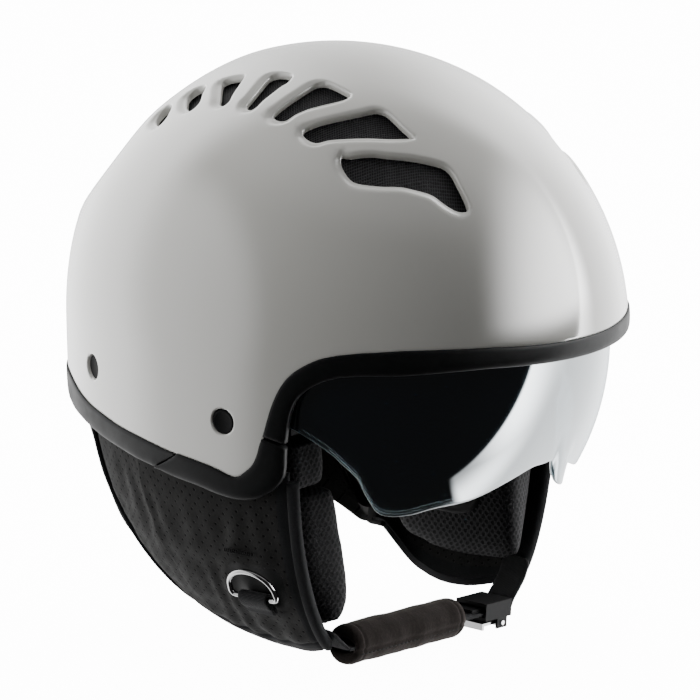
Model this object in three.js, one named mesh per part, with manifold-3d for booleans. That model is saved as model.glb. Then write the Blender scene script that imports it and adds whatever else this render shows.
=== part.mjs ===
// Open face (demi-jet) motorcycle helmet: injection moulded shell with fourteen
// crown vents, moulded edge trim, foam liner, comfort padding, ear and neck
// curtain, drop-down inner sun visor and a chin strap with a ratchet buckle.
// Units are millimetres. The origin is the centre of the wearer's head (the
// centre of the head cavity); +Z is up, the face opening looks along -Y and
// +X is the wearer's left.
import * as THREE from 'three';
import { mergeVertices } from 'three/addons/utils/BufferGeometryUtils.js';
import Module from 'manifold-3d';

const wasm = await Module();
wasm.setup();

// ---------------------------------------------------------------- dimensions
const SHELL = {
  halfWidth: 119, front: 149.202, rear: 153.033, top: 135.742, bottom: 456.918,
  pFront: 1.998, pRear: 2.056, qUp: 2.009, qDown: 2.0,
  wall: 4,
};
const REAR_PLANES = [
  { n: [0, Math.cos(41.547 * Math.PI / 180), Math.sin(41.547 * Math.PI / 180)], k: 137.579, blend: 19.109 },
  { n: [0.473, 0.66, 0.613], k: 137.344, blend: 2.0 },
];
const REAR_PANEL = { y: -53, z: 10, R: 187, Rz: 400, blend: 4 };
const CAVITY = [84, 104, 105];          // half axes of the foam's inner cavity
const PAD_T = 6;                        // comfort padding thickness
const FOAM_GAP = 5.6;                   // shell outer face to foam outer face
const TRIM_OUT = 0.8, TRIM_IN = 5;      // edge trim stands proud / reaches inside
const VISOR = { c: [0, -3, -7], A: 109, R: 128.5, p: 2.4, t: 2, swing: 48 };
const CURTAIN_T = 4.5;
const RING_LIFT = 3.9;                   // hook ring's wire centre above the flap
const STRAP_W = 16.5, STRAP_T = 1.8;
const RUN = { c: [-20.5, -52.5, -147.35], tilt: 4.39 };   // straight run of the chin strap
const CAPS = {
  front: { p: [118.2, -21.5, -28], n: [0.993, -0.115, -0.016] },
  rear: { p: [105.2, 73, -18], n: [0.926, 0.377, -0.011] },
};
const NPH = 36, NTH = 18;               // facets round and down the shell

// shell edge (y, z), from the brow round the ear to the nape
const EDGE = [[-220, 11], [-149, 11], [-132, 12.5], [-118, 12.5], [-103, 12], [-87, 10.5], [-78, 9], [-71, 7], [-65, 4], [-58, -1], [-53, -7], [-49, -15], [-46, -24], [-44, -31], [-42, -35], [-40.5, -42], [-38, -47], [-34, -51], [-29.5, -54], [-25, -54], [-16, -51.5], [-4, -49.5], [9, -48], [21, -46.5], [35, -44.5], [50, -42.5], [64, -40], [76, -38], [88, -35], [97, -32], [106, -29], [120, -25], [134, -22], [220, -10]];
// lower edge of the trim (y, z)
const TRIM_LOW = [[-220, 2.5], [-149, 2.5], [-132, 3], [-119, 2], [-104, 0.5], [-87, 0], [-80, -1], [-71, -3.5], [-65, -7], [-59.5, -13], [-56.5, -20], [-54.5, -30], [-53.5, -36], [-53, -48], [-52, -52], [-48, -56.5], [-40, -62.5], [-32, -65], [-26, -65], [-15, -63.5], [-4, -61.5], [9, -60], [22.4, -57.5], [24, -54], [38, -53], [54, -51.5], [71, -50], [90, -47.5], [102, -45.5], [115, -42], [134, -37], [220, -26]];
const FOAM_EDGE = [[-220, 17], [-118, 17.5], [-100, 17], [-86, 15.5], [-76, 13.5], [-67, 10], [-61, 5], [-56, -2], [-53, -9], [-50.5, -18], [-49, -26], [-48, -34], [-20, -36], [-14, -45], [0, -43], [20, -41], [50, -37], [76, -33], [100, -26], [134, -16], [220, -5]];
// vent openings in plan (|x|, y)
const VENTS = [
  [[72.5, -54.5], [63, -67], [46, -91], [42.5, -97], [45.5, -111.5], [51, -107], [63, -86], [74.5, -68]],
  [[70.5, -31], [57, -44], [45, -56], [43, -62], [44.5, -78.5], [52, -70.5], [63, -54.5], [72, -38]],
  [[68, -10.5], [53, -16], [44.5, -20], [43.5, -32], [44.5, -39.5], [51, -36.5], [60, -26.5], [68, -20]],
  [[65, 9], [54, 9.3], [46.5, 9.8], [44, 4], [43.5, -3], [48, -4.2], [57, -0.8], [65, 2]],
  [[63.5, 28.5], [57.5, 32.5], [50, 37.5], [46.8, 35], [46, 26.5], [53, 23.2], [63, 21]],
  [[62, 51], [54.5, 56.5], [48.8, 53], [50, 46.5], [56, 43.5], [63, 41.5]],
  [[66, 64], [61, 71], [54.5, 69.5], [55.5, 64.5], [60, 60.5], [65, 60]],
];
// lower and upper edge of the lens: elevation about the pivot line against |x|
const LENS_LOW = [[0, -22.3], [10, -22.5], [26, -25.3], [42, -29.1], [57, -32.2], [66, -36], [72, -38.2], [76.6, -38.7], [80.3, -37], [84.6, -33.9], [87.7, -30.9], [92, -28.6], [96, -26.4], [100, -25], [104, -25], [107, -31], [108.4, -46]];
const LENS_UP = [[0, 17], [80, 17], [92, 16], [100, 15], [104, 18], [107, 28], [108.4, 46]];
// lower edge of the ear and neck curtain (|x|, y, z), front corner to nape
const HEM = [[76, -50, -144.5], [72, -38, -148.5], [67, -25, -151], [66, -8, -151], [69, 12, -146.5], [71, 32, -138], [70, 57, -126], [64, 80, -113], [52, 103, -100], [30, 119, -91], [0, 123, -88]];
const CURTAIN_TOP = [[-80, -50], [-25, -51.5], [-16, -51], [-4, -49], [9, -47.5], [35, -44], [64, -39.5], [88, -34], [106, -28], [134, -21], [200, -21]];
const SEAM_PHI = 136, SEAM_W = 0.378, FRONT_PHI = 64.5;

// ------------------------------------------------------------------ helpers
const rad = d => d * Math.PI / 180;
const lerpTable = (t, x) => {
  if (x <= t[0][0]) return t[0][1];
  for (let i = 1; i < t.length; i++) if (x <= t[i][0]) {
    const k = (x - t[i - 1][0]) / (t[i][0] - t[i - 1][0]);
    return t[i - 1][1] + k * (t[i][1] - t[i - 1][1]);
  }
  return t[t.length - 1][1];
};
const smin = (a, b, k) => { const h = Math.min(1, Math.max(0, 0.5 + 0.5 * (b - a) / k)); return b * (1 - h) + a * h - k * h * (1 - h); };
// distance from the head centre to the shell's outer face along a direction
function shellR(dx, dy, dz) {
  const S = SHELL, front = dy < 0, p = front ? S.pFront : S.pRear, b = front ? S.front : S.rear;
  const c = dz > 0 ? S.top : S.bottom, q = dz > 0 ? S.qUp : S.qDown;
  const h = Math.pow(Math.pow(Math.abs(dx) / S.halfWidth, p) + Math.pow(Math.abs(dy) / b, p), 1 / p);
  let r = Math.pow(Math.pow(h, q) + Math.pow(Math.abs(dz) / c, q), -1 / q);
  for (const P of REAR_PLANES) {
    const L = Math.hypot(...P.n), nd = (Math.abs(dx) * P.n[0] + dy * P.n[1] + dz * P.n[2]) / L;
    r = smin(r, nd > 1e-3 ? Math.min(P.k / nd, 400) : 400, P.blend);
  }
  const Q = REAR_PANEL, aa = (dx * dx + dy * dy) / Q.R ** 2 + dz * dz / Q.Rz ** 2;
  const bb = -(dy * Q.y) / Q.R ** 2 - dz * Q.z / Q.Rz ** 2, cc = Q.y ** 2 / Q.R ** 2 + Q.z ** 2 / Q.Rz ** 2 - 1;
  const rp = dy > 0.15 ? (-bb + Math.sqrt(Math.max(bb * bb - aa * cc, 0))) / aa : 400;
  return smin(r, Math.min(rp, 400), Q.blend);
}
const dirOf = (th, ph) => [Math.sin(th) * Math.sin(ph), -Math.sin(th) * Math.cos(ph), Math.cos(th)];
// plan radius of the shell at a plan azimuth (0 = front) and height
function shellRho(ph, z) {
  let rho = 120;
  for (let i = 0; i < 40; i++) { const th = Math.atan2(rho, z), d = dirOf(th, ph); rho = 0.5 * rho + 0.5 * shellR(...d) * Math.sin(th); }
  return rho;
}
function cavityR(dx, dy, dz) { return 1 / Math.sqrt((dx / CAVITY[0]) ** 2 + (dy / CAVITY[1]) ** 2 + (dz / CAVITY[2]) ** 2); }
// distance to the visor's swept surface, shrunk by off, along a direction
function visorR(dx, dy, dz, off) {
  const { c, A, R, p } = VISOR; let lo = 20, hi = 200;
  for (let i = 0; i < 40; i++) {
    const m = (lo + hi) / 2, X = dx * m - c[0], Y = dy * m - c[1], Z = dz * m - c[2];
    if (Math.pow(Math.abs(X) / (A - off), p) + Math.pow(Math.hypot(Y, Z) / (R - off), p) < 1) lo = m; else hi = m;
  }
  return lo;
}
function foamR(dx, dy, dz) {
  const r = shellR(dx, dy, dz) - FOAM_GAP;
  const k = Math.min(1, Math.max(0, (dy - 0.16) / 0.12));      // behind the pivots the foam fills the shell
  return Math.min(r, visorR(dx, dy, dz, VISOR.t + 1.5) + 60 * k);
}

function build(verts, tris) {
  let vol = 0;
  const a = new THREE.Vector3(), b = new THREE.Vector3(), c = new THREE.Vector3();
  for (const [i, j, k] of tris) { a.fromArray(verts[i]); b.fromArray(verts[j]); c.fromArray(verts[k]); vol += a.dot(b.cross(c)); }
  const idx = [];
  for (const [i, j, k] of tris) vol > 0 ? idx.push(i, j, k) : idx.push(i, k, j);
  const g = new THREE.BufferGeometry();
  g.setAttribute('position', new THREE.Float32BufferAttribute(verts.flat(), 3));
  g.setIndex(idx);
  return g;
}
// closed skin of a star shaped solid round the head centre
function star(rf) {
  const v = [], t = [];
  const put = (th, ph) => { const d = dirOf(th, ph), r = rf(...d); v.push([d[0] * r, d[1] * r, d[2] * r]); };
  put(0, 0);
  for (let i = 1; i < NTH; i++) for (let j = 0; j < NPH; j++) put(Math.PI * i / NTH, 2 * Math.PI * j / NPH);
  put(Math.PI, 0);
  const at = (i, j) => 1 + (i - 1) * NPH + (j % NPH), last = v.length - 1;
  for (let j = 0; j < NPH; j++) {
    t.push([0, at(1, j), at(1, j + 1)]); t.push([last, at(NTH - 1, j + 1), at(NTH - 1, j)]);
    for (let i = 1; i < NTH - 1; i++) { t.push([at(i, j), at(i + 1, j), at(i + 1, j + 1)]); t.push([at(i, j), at(i + 1, j + 1), at(i, j + 1)]); }
  }
  return build(v, t);
}
// closed slab between two grids of points given by f(i/ns, j/nt)
function slab(fo, fi, ns, nt) {
  const v = [], t = [], n1 = nt + 1, N = (ns + 1) * n1;
  for (const f of [fo, fi]) for (let i = 0; i <= ns; i++) for (let j = 0; j <= nt; j++) v.push(f(i / ns, j / nt));
  const at = (i, j, k) => k * N + i * n1 + j;
  for (let i = 0; i < ns; i++) for (let j = 0; j < nt; j++) {
    t.push([at(i, j, 0), at(i + 1, j, 0), at(i + 1, j + 1, 0)], [at(i, j, 0), at(i + 1, j + 1, 0), at(i, j + 1, 0)]);
    t.push([at(i, j, 1), at(i + 1, j + 1, 1), at(i + 1, j, 1)], [at(i, j, 1), at(i, j + 1, 1), at(i + 1, j + 1, 1)]);
  }
  for (let i = 0; i < ns; i++) for (const [j, s] of [[0, 1], [nt, -1]]) {
    const q = [at(i, j, 0), at(i, j, 1), at(i + 1, j, 1), at(i + 1, j, 0)]; if (s < 0) q.reverse();
    t.push([q[0], q[1], q[2]], [q[0], q[2], q[3]]);
  }
  for (let j = 0; j < nt; j++) for (const [i, s] of [[0, -1], [ns, 1]]) {
    const q = [at(i, j, 0), at(i, j, 1), at(i, j + 1, 1), at(i, j + 1, 0)]; if (s < 0) q.reverse();
    t.push([q[0], q[1], q[2]], [q[0], q[2], q[3]]);
  }
  return build(v, t);
}
function prismX(poly, x0, x1) {                       // (y, z) outline extruded along X
  const s = new THREE.Shape(poly.map(p => new THREE.Vector2(p[0], p[1])));
  const g = new THREE.ExtrudeGeometry(s, { depth: x1 - x0, bevelEnabled: false, steps: 1 });
  g.applyMatrix4(new THREE.Matrix4().set(0, 0, 1, x0, 1, 0, 0, 0, 0, 1, 0, 0, 0, 0, 0, 1));
  return g;
}
function prismZ(poly, z0, z1) {
  const s = new THREE.Shape(poly.map(p => new THREE.Vector2(p[0], p[1])));
  const g = new THREE.ExtrudeGeometry(s, { depth: z1 - z0, bevelEnabled: false, steps: 1 });
  g.translate(0, 0, z0);
  return g;
}
function solid(g) {
  let h = g.clone(); h.deleteAttribute('normal'); h.deleteAttribute('uv'); h = mergeVertices(h, 1e-4);
  return new wasm.Manifold(new wasm.Mesh({ numProp: 3, vertProperties: new Float32Array(h.attributes.position.array), triVerts: new Uint32Array(h.index.array) }));
}
function back(m) {
  const M = m.getMesh(), g = new THREE.BufferGeometry();
  g.setAttribute('position', new THREE.BufferAttribute(new Float32Array(M.vertProperties), 3));
  g.setIndex(new THREE.BufferAttribute(new Uint32Array(M.triVerts), 1));
  return g;
}
const box = (x0, x1, y0, y1, z0, z1) => { const g = new THREE.BoxGeometry(x1 - x0, y1 - y0, z1 - z0); g.translate((x0 + x1) / 2, (y0 + y1) / 2, (z0 + z1) / 2); return g; };
// open polyline moved sideways by d (to the left of its direction of travel)
function offsetLine(pl, d) {
  return pl.map((p, i) => {
    const a = pl[Math.max(0, i - 1)], b = pl[Math.min(pl.length - 1, i + 1)];
    const tx = b[0] - a[0], ty = b[1] - a[1], L = Math.hypot(tx, ty);
    return [p[0] - ty / L * d, p[1] + tx / L * d];
  });
}
const above = line => [...line, [220, 220], [-220, 220]];
// a round piece along a direction: profile is a closed list of (radius, depth)
function turned(profile, at, n, seg = 14) {
  const g = new THREE.LatheGeometry([...profile, profile[0]].map(p => new THREE.Vector2(Math.max(p[0], 0), p[1])), seg);
  const q = new THREE.Quaternion().setFromUnitVectors(new THREE.Vector3(0, 1, 0), new THREE.Vector3(...n).normalize());
  g.applyQuaternion(q); g.translate(...at);
  return g;
}
const cylinder = (r, h, seg = 20) => new THREE.CylinderGeometry(r, r, h, seg);
// flat ribbon through stations {p, w, n}: centre, width direction, thickness direction
function ribbon(st, w, t) {
  const v = [], f = [];
  for (const s of st) {
    const P = new THREE.Vector3(...s.p), W = new THREE.Vector3(...s.w).normalize(), N = new THREE.Vector3(...s.n).normalize();
    for (const [a, b] of [[-1, -1], [1, -1], [1, 1], [-1, 1]]) v.push(P.clone().addScaledVector(W, a * w / 2).addScaledVector(N, b * t / 2).toArray());
  }
  for (let i = 0; i + 1 < st.length; i++) for (let k = 0; k < 4; k++) {
    const a = i * 4 + k, b = i * 4 + (k + 1) % 4; f.push([a, b, b + 4], [a, b + 4, a + 4]);
  }
  const e = (st.length - 1) * 4;
  f.push([0, 2, 1], [0, 3, 2], [e, e + 1, e + 2], [e, e + 2, e + 3]);
  return build(v, f);
}
// round tube through points
function tube(pts, r, sides = 8, steps = null, closed = false) {
  const c = new THREE.CatmullRomCurve3(pts.map(p => new THREE.Vector3(...p)), closed);
  const s = new THREE.Shape(); for (let i = 0; i < sides; i++) { const a = 2 * Math.PI * i / sides; i ? s.lineTo(r * Math.cos(a), r * Math.sin(a)) : s.moveTo(r, 0); }
  return new THREE.ExtrudeGeometry(s, { extrudePath: c, steps: steps || pts.length * 3, bevelEnabled: false });
}

const helmet = new THREE.Group();
const M = (color, roughness, metalness = 0) => new THREE.MeshStandardMaterial({ color, roughness, metalness });
const MAT = {
  gloss: M(0xdcdcd6, 0.18), rubber: M(0x17181a, 0.55), foam: M(0x1b1b1d, 0.8), fabric: M(0x151517, 0.9), mesh: M(0x101012, 0.85),
  suede: M(0x1d1919, 0.95), lens: M(0x1a2026, 0.08, 0.3), steel: M(0xc9ccd0, 0.22, 1), black: M(0x0d0d0e, 0.45), web: M(0x22242a, 0.8),
};
function add(name, g, mat, parent = helmet) {
  if (!g.isBufferGeometry) g = back(g);
  let h = g.clone(); h.deleteAttribute('normal'); h.deleteAttribute('uv'); h = mergeVertices(h, 1e-4); h.computeVertexNormals();
  const m = new THREE.Mesh(h, mat); m.name = name; parent.add(m);
  return m;
}
const both = f => { for (const [side, s] of [['right', -1], ['left', 1]]) f(side, s); };

// -------------------------------------------------------------- shell, trim
const wide = 200;
let shell = solid(star(shellR)).subtract(solid(star((x, y, z) => shellR(x, y, z) - SHELL.wall)));
shell = shell.intersect(solid(prismX(above(offsetLine(EDGE, 0.35)), -wide, wide)));
for (const s of [-1, 1]) for (const v of VENTS) shell = shell.subtract(solid(prismZ(v.map(p => [s * p[0], p[1]]), 55, 160)));
for (const s of [-1, 1]) for (const c of Object.values(CAPS)) {
  const n = [s * c.n[0], c.n[1], c.n[2]], p = [s * c.p[0], c.p[1], c.p[2]];
  shell = shell.subtract(solid(turned([[0, -2.5], [6.3, -2.5], [6.3, 3], [0, 3]], p, n, 16)));
  shell = shell.subtract(solid(turned([[0, -9], [3.3, -9], [3.3, 0], [0, 0]], p, n, 14)));
}
add('outer_shell', shell, MAT.gloss);

const ring = solid(star((x, y, z) => shellR(x, y, z) + TRIM_OUT)).subtract(solid(star((x, y, z) => shellR(x, y, z) - TRIM_IN)))
  .intersect(solid(prismX([...TRIM_LOW, ...EDGE.slice().reverse()], -wide, wide)));
add('front_edge_trim', ring.intersect(solid(prismX([[-221, -32.8], [-20, -32.8], [-20, 60], [-221, 60]], -wide, wide))), MAT.rubber);
add('rear_edge_trim', ring.intersect(solid(prismX([[5.4, -40], [6.9, -48.9], [22.8, -56.4], [22.8, -90], [221, -90], [221, 20], [5.4, 20]], -wide, wide))), MAT.rubber);
both((side, s) => {
  const c = solid(prismX([[-80, -33.2], [-20, -33.2], [5, -42], [6.5, -49], [22.4, -56.6], [22.4, -90], [-80, -90]], s < 0 ? -wide : 5, s < 0 ? -5 : wide));
  add(`${side}_corner_plate`, ring.intersect(c), MAT.rubber);
});

// --------------------------------------------------------------- foam liner
const V = VISOR.c;
let foam = solid(star(foamR)).subtract(solid(star(cavityR))).intersect(solid(prismX(above(FOAM_EDGE), -wide, wide)));
for (const s of [-1, 1]) {
  const x = (a, b) => s < 0 ? [-b, -a] : [a, b];
  foam = foam.subtract(solid(box(...x(103.2, 130), V[1] - 17, V[1] + 17, V[2] - 15, V[2] + 17)));   // pivot bracket seat
  foam = foam.subtract(solid(box(...x(103.2, 130), -37, -4, -70, -12)));                             // strap anchor pocket
}
add('foam_liner', foam, MAT.foam);

// fine mesh behind the vents, one strip each side
both((side, s) => {
  const o = [[38, -117], [50, -115], [62, -98], [80, -70], [79.5, -40], [76, -8], [72, 30], [71, 58], [69, 76], [50, 76], [40, 50], [38, 0]].map(p => [s * p[0], p[1]]);
  add(`${side}_vent_mesh`, solid(star((x, y, z) => shellR(x, y, z) - 4.4)).subtract(solid(star((x, y, z) => shellR(x, y, z) - 5.3)))
    .intersect(solid(prismZ(o, 40, 160))), MAT.mesh);
});

// ---------------------------------------------------------- comfort padding
const padRing = solid(star((x, y, z) => cavityR(x, y, z) - 0.5)).subtract(solid(star((x, y, z) => cavityR(x, y, z) - 0.5 - PAD_T)));
add('crown_liner', padRing.intersect(solid(box(-120, 120, -120, 120, 46, 120))), MAT.fabric);
add('brow_pad', padRing.intersect(solid(prismX([[-130, 19.5], [-46, 19.5], [-46, 45], [-130, 45]], -90, 90))), MAT.fabric);
add('occipital_pad', padRing.intersect(solid(prismX([[30, -30], [130, -18], [130, 45], [30, 45]], -90, 90))), MAT.fabric);
both((side, s) => {
  const r = [[-50, -42], [-47, -38.4], [-25, -38.4], [-22, -41], [-22, -58], [-25, -61], [-47, -61], [-51, -57]];
  add(`${side}_temple_pad`, prismX(r, s < 0 ? -99.5 : 72, s < 0 ? -72 : 99.5), MAT.mesh);
});

// ------------------------------------------------- ear and neck curtain
const hemCurve = (() => {                               // uniform Catmull-Rom, then arc length
  const P = HEM, at = u => {
    const n = P.length - 1, k = Math.min(n - 1, Math.floor(u * n)), t = u * n - k;
    const p0 = k ? P[k - 1] : P[0].map((c, i) => 2 * c - P[1][i]), p1 = P[k], p2 = P[k + 1];
    const p3 = k + 2 <= n ? P[k + 2] : [-P[n - 1][0], P[n - 1][1], P[n - 1][2]];
    return p1.map((_, i) => 0.5 * (2 * p1[i] + (p2[i] - p0[i]) * t + (2 * p0[i] - 5 * p1[i] + 4 * p2[i] - p3[i]) * t * t + (3 * p1[i] - p0[i] - 3 * p2[i] + p3[i]) * t ** 3));
  };
  const N = 400, pts = [...Array(N + 1).keys()].map(i => at(i / N)), len = [0];
  for (let i = 1; i <= N; i++) len.push(len[i - 1] + Math.hypot(...pts[i].map((c, j) => c - pts[i - 1][j])));
  return w => { const L = w * len[N]; let i = 1; while (i < N && len[i] < L) i++; const k = (L - len[i - 1]) / (len[i] - len[i - 1]); return pts[i].map((c, j) => pts[i - 1][j] + k * (c - pts[i - 1][j])); };
})();
const topCache = new Map();
function curtainTop(phi) {                              // phi in degrees, 0 front, 180 nape
  if (topCache.has(phi)) return topCache.get(phi);
  let z = -45, rho = 110;
  for (let i = 0; i < 8; i++) { rho = shellRho(rad(phi), z) - (phi > 112 ? 7.4 : 5.9); z = lerpTable(CURTAIN_TOP, -rho * Math.cos(rad(phi))); }
  const r = [rho * Math.sin(rad(phi)), -rho * Math.cos(rad(phi)), z];
  topCache.set(phi, r);
  return r;
}
// curtain's outer face on the +X side: u 0 front edge, 1 seam with the neck roll, 2 nape; a 0 top, 1 hem
function curtain(u, a) {
  const phi = u <= 1 ? FRONT_PHI + (SEAM_PHI - FRONT_PHI) * u : SEAM_PHI + (180 - SEAM_PHI) * (u - 1);
  const w = u <= 1 ? SEAM_W * u : SEAM_W + (1 - SEAM_W) * (u - 1);
  const U = curtainTop(phi), L = hemCurve(Math.min(1, Math.max(0, w))), th = a * Math.PI / 2;
  const g = Math.pow(Math.max(0, Math.cos(th)), 1.44), tau = Math.sin(th);
  return [L[0] + (U[0] - L[0]) * g, L[1] + (U[1] - L[1]) * g, U[2] + (L[2] - U[2]) * tau];
}
function curtainN(u, a) {                               // outward normal
  const e = 0.006, A = Math.min(a, 0.985), u0 = Math.max(0, u - e), u1 = Math.min(2, u + e), a0 = Math.max(0, A - e), a1 = A + e;
  const d = (p, q) => new THREE.Vector3(...p).sub(new THREE.Vector3(...q));
  const n = d(curtain(u1, A), curtain(u0, A)).cross(d(curtain(u, a1), curtain(u, a0))).normalize(), p = curtain(u, A);
  if (n.x * p[0] + n.y * (p[1] - 25) + n.z * (p[2] + 60) < 0) n.negate();
  return n;
}
const off = (u, a, d, s) => { const p = curtain(u, a), n = curtainN(u, a); return [s * (p[0] - n.x * d), p[1] - n.y * d, p[2] - n.z * d]; };
both((side, s) => {
  add(`${side}_ear_curtain`, slab((i, j) => off(i * 0.992, j, 0, s), (i, j) => off(i * 0.992, j, CURTAIN_T, s), 9, 8), MAT.fabric);
  const pipe = [...Array(9).keys()].map(k => { const a = 0.10 + 0.90 * k / 8, p = off(0, a, 2.3, s), q = off(0.05, a, 2.3, s); const d = new THREE.Vector3(...p).sub(new THREE.Vector3(...q)).normalize().multiplyScalar(3.3); return [p[0] + d.x, p[1] + d.y, p[2] + d.z]; });
  add(`${side}_curtain_piping`, tube(pipe, 2.4, 6, 10), MAT.fabric);
});
const rollT = a => 4.5 + 7.5 * Math.sin(Math.min(1, a * 1.5) * Math.PI / 2);
const rollAt = (i, j, d) => { const v = i * 2 - 1, u = 2 - Math.abs(v) * 0.992, s = v < 0 ? -1 : 1; if (Math.abs(v) < 1e-9) { const p = curtain(2, j), n = curtainN(2, j); const L = Math.hypot(n.y, n.z); return [0, p[1] - n.y / L * d, p[2] - n.z / L * d]; } return off(u, j, d, s); };
add('neck_roll', slab((i, j) => rollAt(i, j, 0), (i, j) => rollAt(i, j, rollT(j)), 16, 8), MAT.fabric);

// cheek pads: a wedge between the strap's channel and the wearer's cheek
const CHEEK = { u0: 0.0, u1: 0.66, a0: 0.09, a1: 0.74 };
const cheekIn = j => lerpTable([[0, 66], [0.25, 62.5], [0.6, 61], [0.85, 62], [1, 67]], j);
const cheekOut = (i, j, s) => off(CHEEK.u0 + (CHEEK.u1 - CHEEK.u0) * i, CHEEK.a0 + (CHEEK.a1 - CHEEK.a0) * j, 8.9, s);
const cheekInner = (i, j, s) => { const p = cheekOut(i, j, s); return [s * (cheekIn(j) + 9 * Math.abs(i - 0.45) ** 2), p[1] - 8 * Math.pow(1 - i, 2.5) * Math.min(1, 0.35 + j), Math.min(p[2], -62.6)]; };
both((side, s) => {
  add(`${side}_cheek_pad`, slab((i, j) => { const p = cheekOut(i, j, s); p[2] = Math.min(p[2], -62.6); return p; }, (i, j) => cheekInner(i, j, s), 8, 6), MAT.mesh);
  const pin = (i, j, d) => { const p = cheekInner(0.22 + 0.5 * i, 0.2 + 0.5 * j, s); return [p[0] - s * d, p[1], p[2]]; };
  add(`${side}_cheek_patch`, slab((i, j) => pin(i, j, 2.0), (i, j) => pin(i, j, 0.8), 4, 4), MAT.suede);
});

// ---------------------------------------------------------------- sun visor
const lensRho = (x, o) => (VISOR.R - o) * Math.pow(Math.max(0, 1 - Math.pow(Math.abs(x) / VISOR.A, VISOR.p)), 1 / VISOR.p);
const lensPt = (x, al, o) => { const r = lensRho(x, o), a = rad(al); return [V[0] + x * (VISOR.A - o) / VISOR.A, V[1] - r * Math.cos(a), V[2] + r * Math.sin(a)]; };
const LX = [-108.9, -108.2, -106.5, -103, -98, -92, -86, -80.3, -76.6, -70, -57, -42, -26, -10, 10, 26, 42, 57, 70, 76.6, 80.3, 86, 92, 98, 103, 106.5, 108.2, 108.9];
const lens = o => (i, j) => { const x = LX[Math.round(i * (LX.length - 1))], a0 = lerpTable(LENS_LOW, Math.abs(x)), a1 = lerpTable(LENS_UP, Math.abs(x)); return lensPt(x, a0 + (a1 - a0) * j, o); };
let visor = solid(slab(lens(0), lens(VISOR.t), LX.length - 1, 5));
for (const s of [-1, 1]) {
  const d = turned([[3.3, 0], [13, 0], [13, 2], [3.3, 2]], [s * 106.8, V[1], V[2]], [s, 0, 0], 16);
  visor = visor.subtract(solid(turned([[0, -6], [12.9, -6], [12.9, 6], [0, 6]], [s * 107, V[1], V[2]], [s, 0, 0], 16))).add(solid(d));
}
const tab = o => (i, j) => { const x = 8.5 + 17 * i, a = -20 - 10 * j, k = 4.6 * j * j; const p = lensPt(x, a, o - k), q = lensPt(x, a, o - k); return j ? p : q; };
visor = visor.add(solid(slab(tab(0.15), tab(1.85), 4, 4)));
add('sun_visor', visor, MAT.lens);
both((side, s) => {
  const c = x => [s * x, V[1], V[2]], n = [s, 0, 0];
  const plate = solid(s < 0 ? box(-106.3, -104, V[1] - 15.5, V[1] + 15.5, V[2] - 13.5, V[2] + 15.5) : box(104, 106.3, V[1] - 15.5, V[1] + 15.5, V[2] - 13.5, V[2] + 15.5))
    .subtract(solid(turned([[0, -5], [3.3, -5], [3.3, 5], [0, 5]], c(105), n, 14)));
  add(`${side}_visor_bracket`, plate, MAT.black);
  add(`${side}_pivot_screw`, turned([[0, 0], [2.9, 0], [2.9, 5.2], [5.5, 5.2], [5.5, 6.9], [0, 6.9]], c(104), n, 14), MAT.steel);
});

// ----------------------------------------------- fasteners and strap anchors
both((side, s) => {
  for (const [k, c] of Object.entries(CAPS)) {
    const n = [s * c.n[0], c.n[1], c.n[2]], p = [s * c.p[0], c.p[1], c.p[2]];
    add(`${side}_${k}_cap`, turned([[0, -1.5], [5.9, -1.5], [5.9, -0.5], [0, -0.5]], p, n, 16), MAT.black);
    if (k === 'front') {
      add(`${side}_strap_rivet`, turned([[0, -8.4], [4.5, -8.4], [4.5, -7.3], [3, -7.3], [3, -2.2], [5.2, -2.2], [5.2, -1.8], [0, -1.8]], p, n, 14), MAT.steel);
    } else {
      add(`${side}_rear_screw`, turned([[0, -4.9], [3, -4.9], [3, -2.2], [5, -2.2], [5, -1.8], [0, -1.8]], p, n, 14), MAT.steel);
    }
  }
  const c = CAPS.front, n = [s * c.n[0], c.n[1], c.n[2]], p = [s * c.p[0], c.p[1], c.p[2]];
  const nv = new THREE.Vector3(...n).normalize(), q = new THREE.Quaternion().setFromUnitVectors(new THREE.Vector3(s, 0, 0), nv);
  const plate = new THREE.BoxGeometry(1.4, 19, 20); plate.translate(-s * 6.2, 0, -2); plate.applyQuaternion(q); plate.translate(...p);
  add(`${side}_strap_anchor`, solid(plate).subtract(solid(turned([[0, -12], [3.35, -12], [3.35, 3], [0, 3]], p, n, 14))), MAT.steel);
});

// ------------------------------------------------------------- chin strap
const strapLine = s => {
  const st = [{ p: [s * 108.4, -22, -36], w: [0, 1, 0], n: [s, 0, 0] }, { p: [s * 104.6, -22, -48], w: [0, 1, 0], n: [s, 0, 0] }];
  const us = [[0.17, 0.268], [0.3, 0.25], [0.45, 0.22], [0.58, 0.185], [0.7, 0.15]];
  for (const [a, u] of us) { const p = off(u, a, 7.3, s), n = curtainN(u, a); const N = new THREE.Vector3(s * n.x, n.y, n.z), w = new THREE.Vector3(0, 1, 0).addScaledVector(N, -N.y); st.push({ p, w: w.toArray(), n: N.toArray() }); }
  return st;
};
both((side, s) => {
  const st = strapLine(s);
  st.push({ p: [s * 78.5, -47.5, -133.5], w: [0, 1, 0.05], n: [s * 0.72, 0, -0.69] });
  st.push({ p: [s * 73.6, -50.5, -139.6], w: [0, 1, 0], n: [s * 0.66, 0, -0.75] });
  if (s < 0) st.push({ p: [-70.6, -52.3, -143.1], w: [0, 1, 0], n: [-0.55, 0, -0.83] });
  else st.push({ p: [67.2, -51.8, -144.4], w: [0, 1, 0], n: [0.62, 0, -0.78] }, { p: [60.6, -52.5, -149.4], w: [0, 1, 0], n: [0.8, 0, -0.6] }, { p: [58.2, -52.5, -153.4], w: [0, 1, 0], n: [1, 0, 0.07] });
  add(`${side}_chin_strap`, ribbon(st, STRAP_W, STRAP_T), MAT.web);
});
const run = new THREE.Group();
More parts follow.
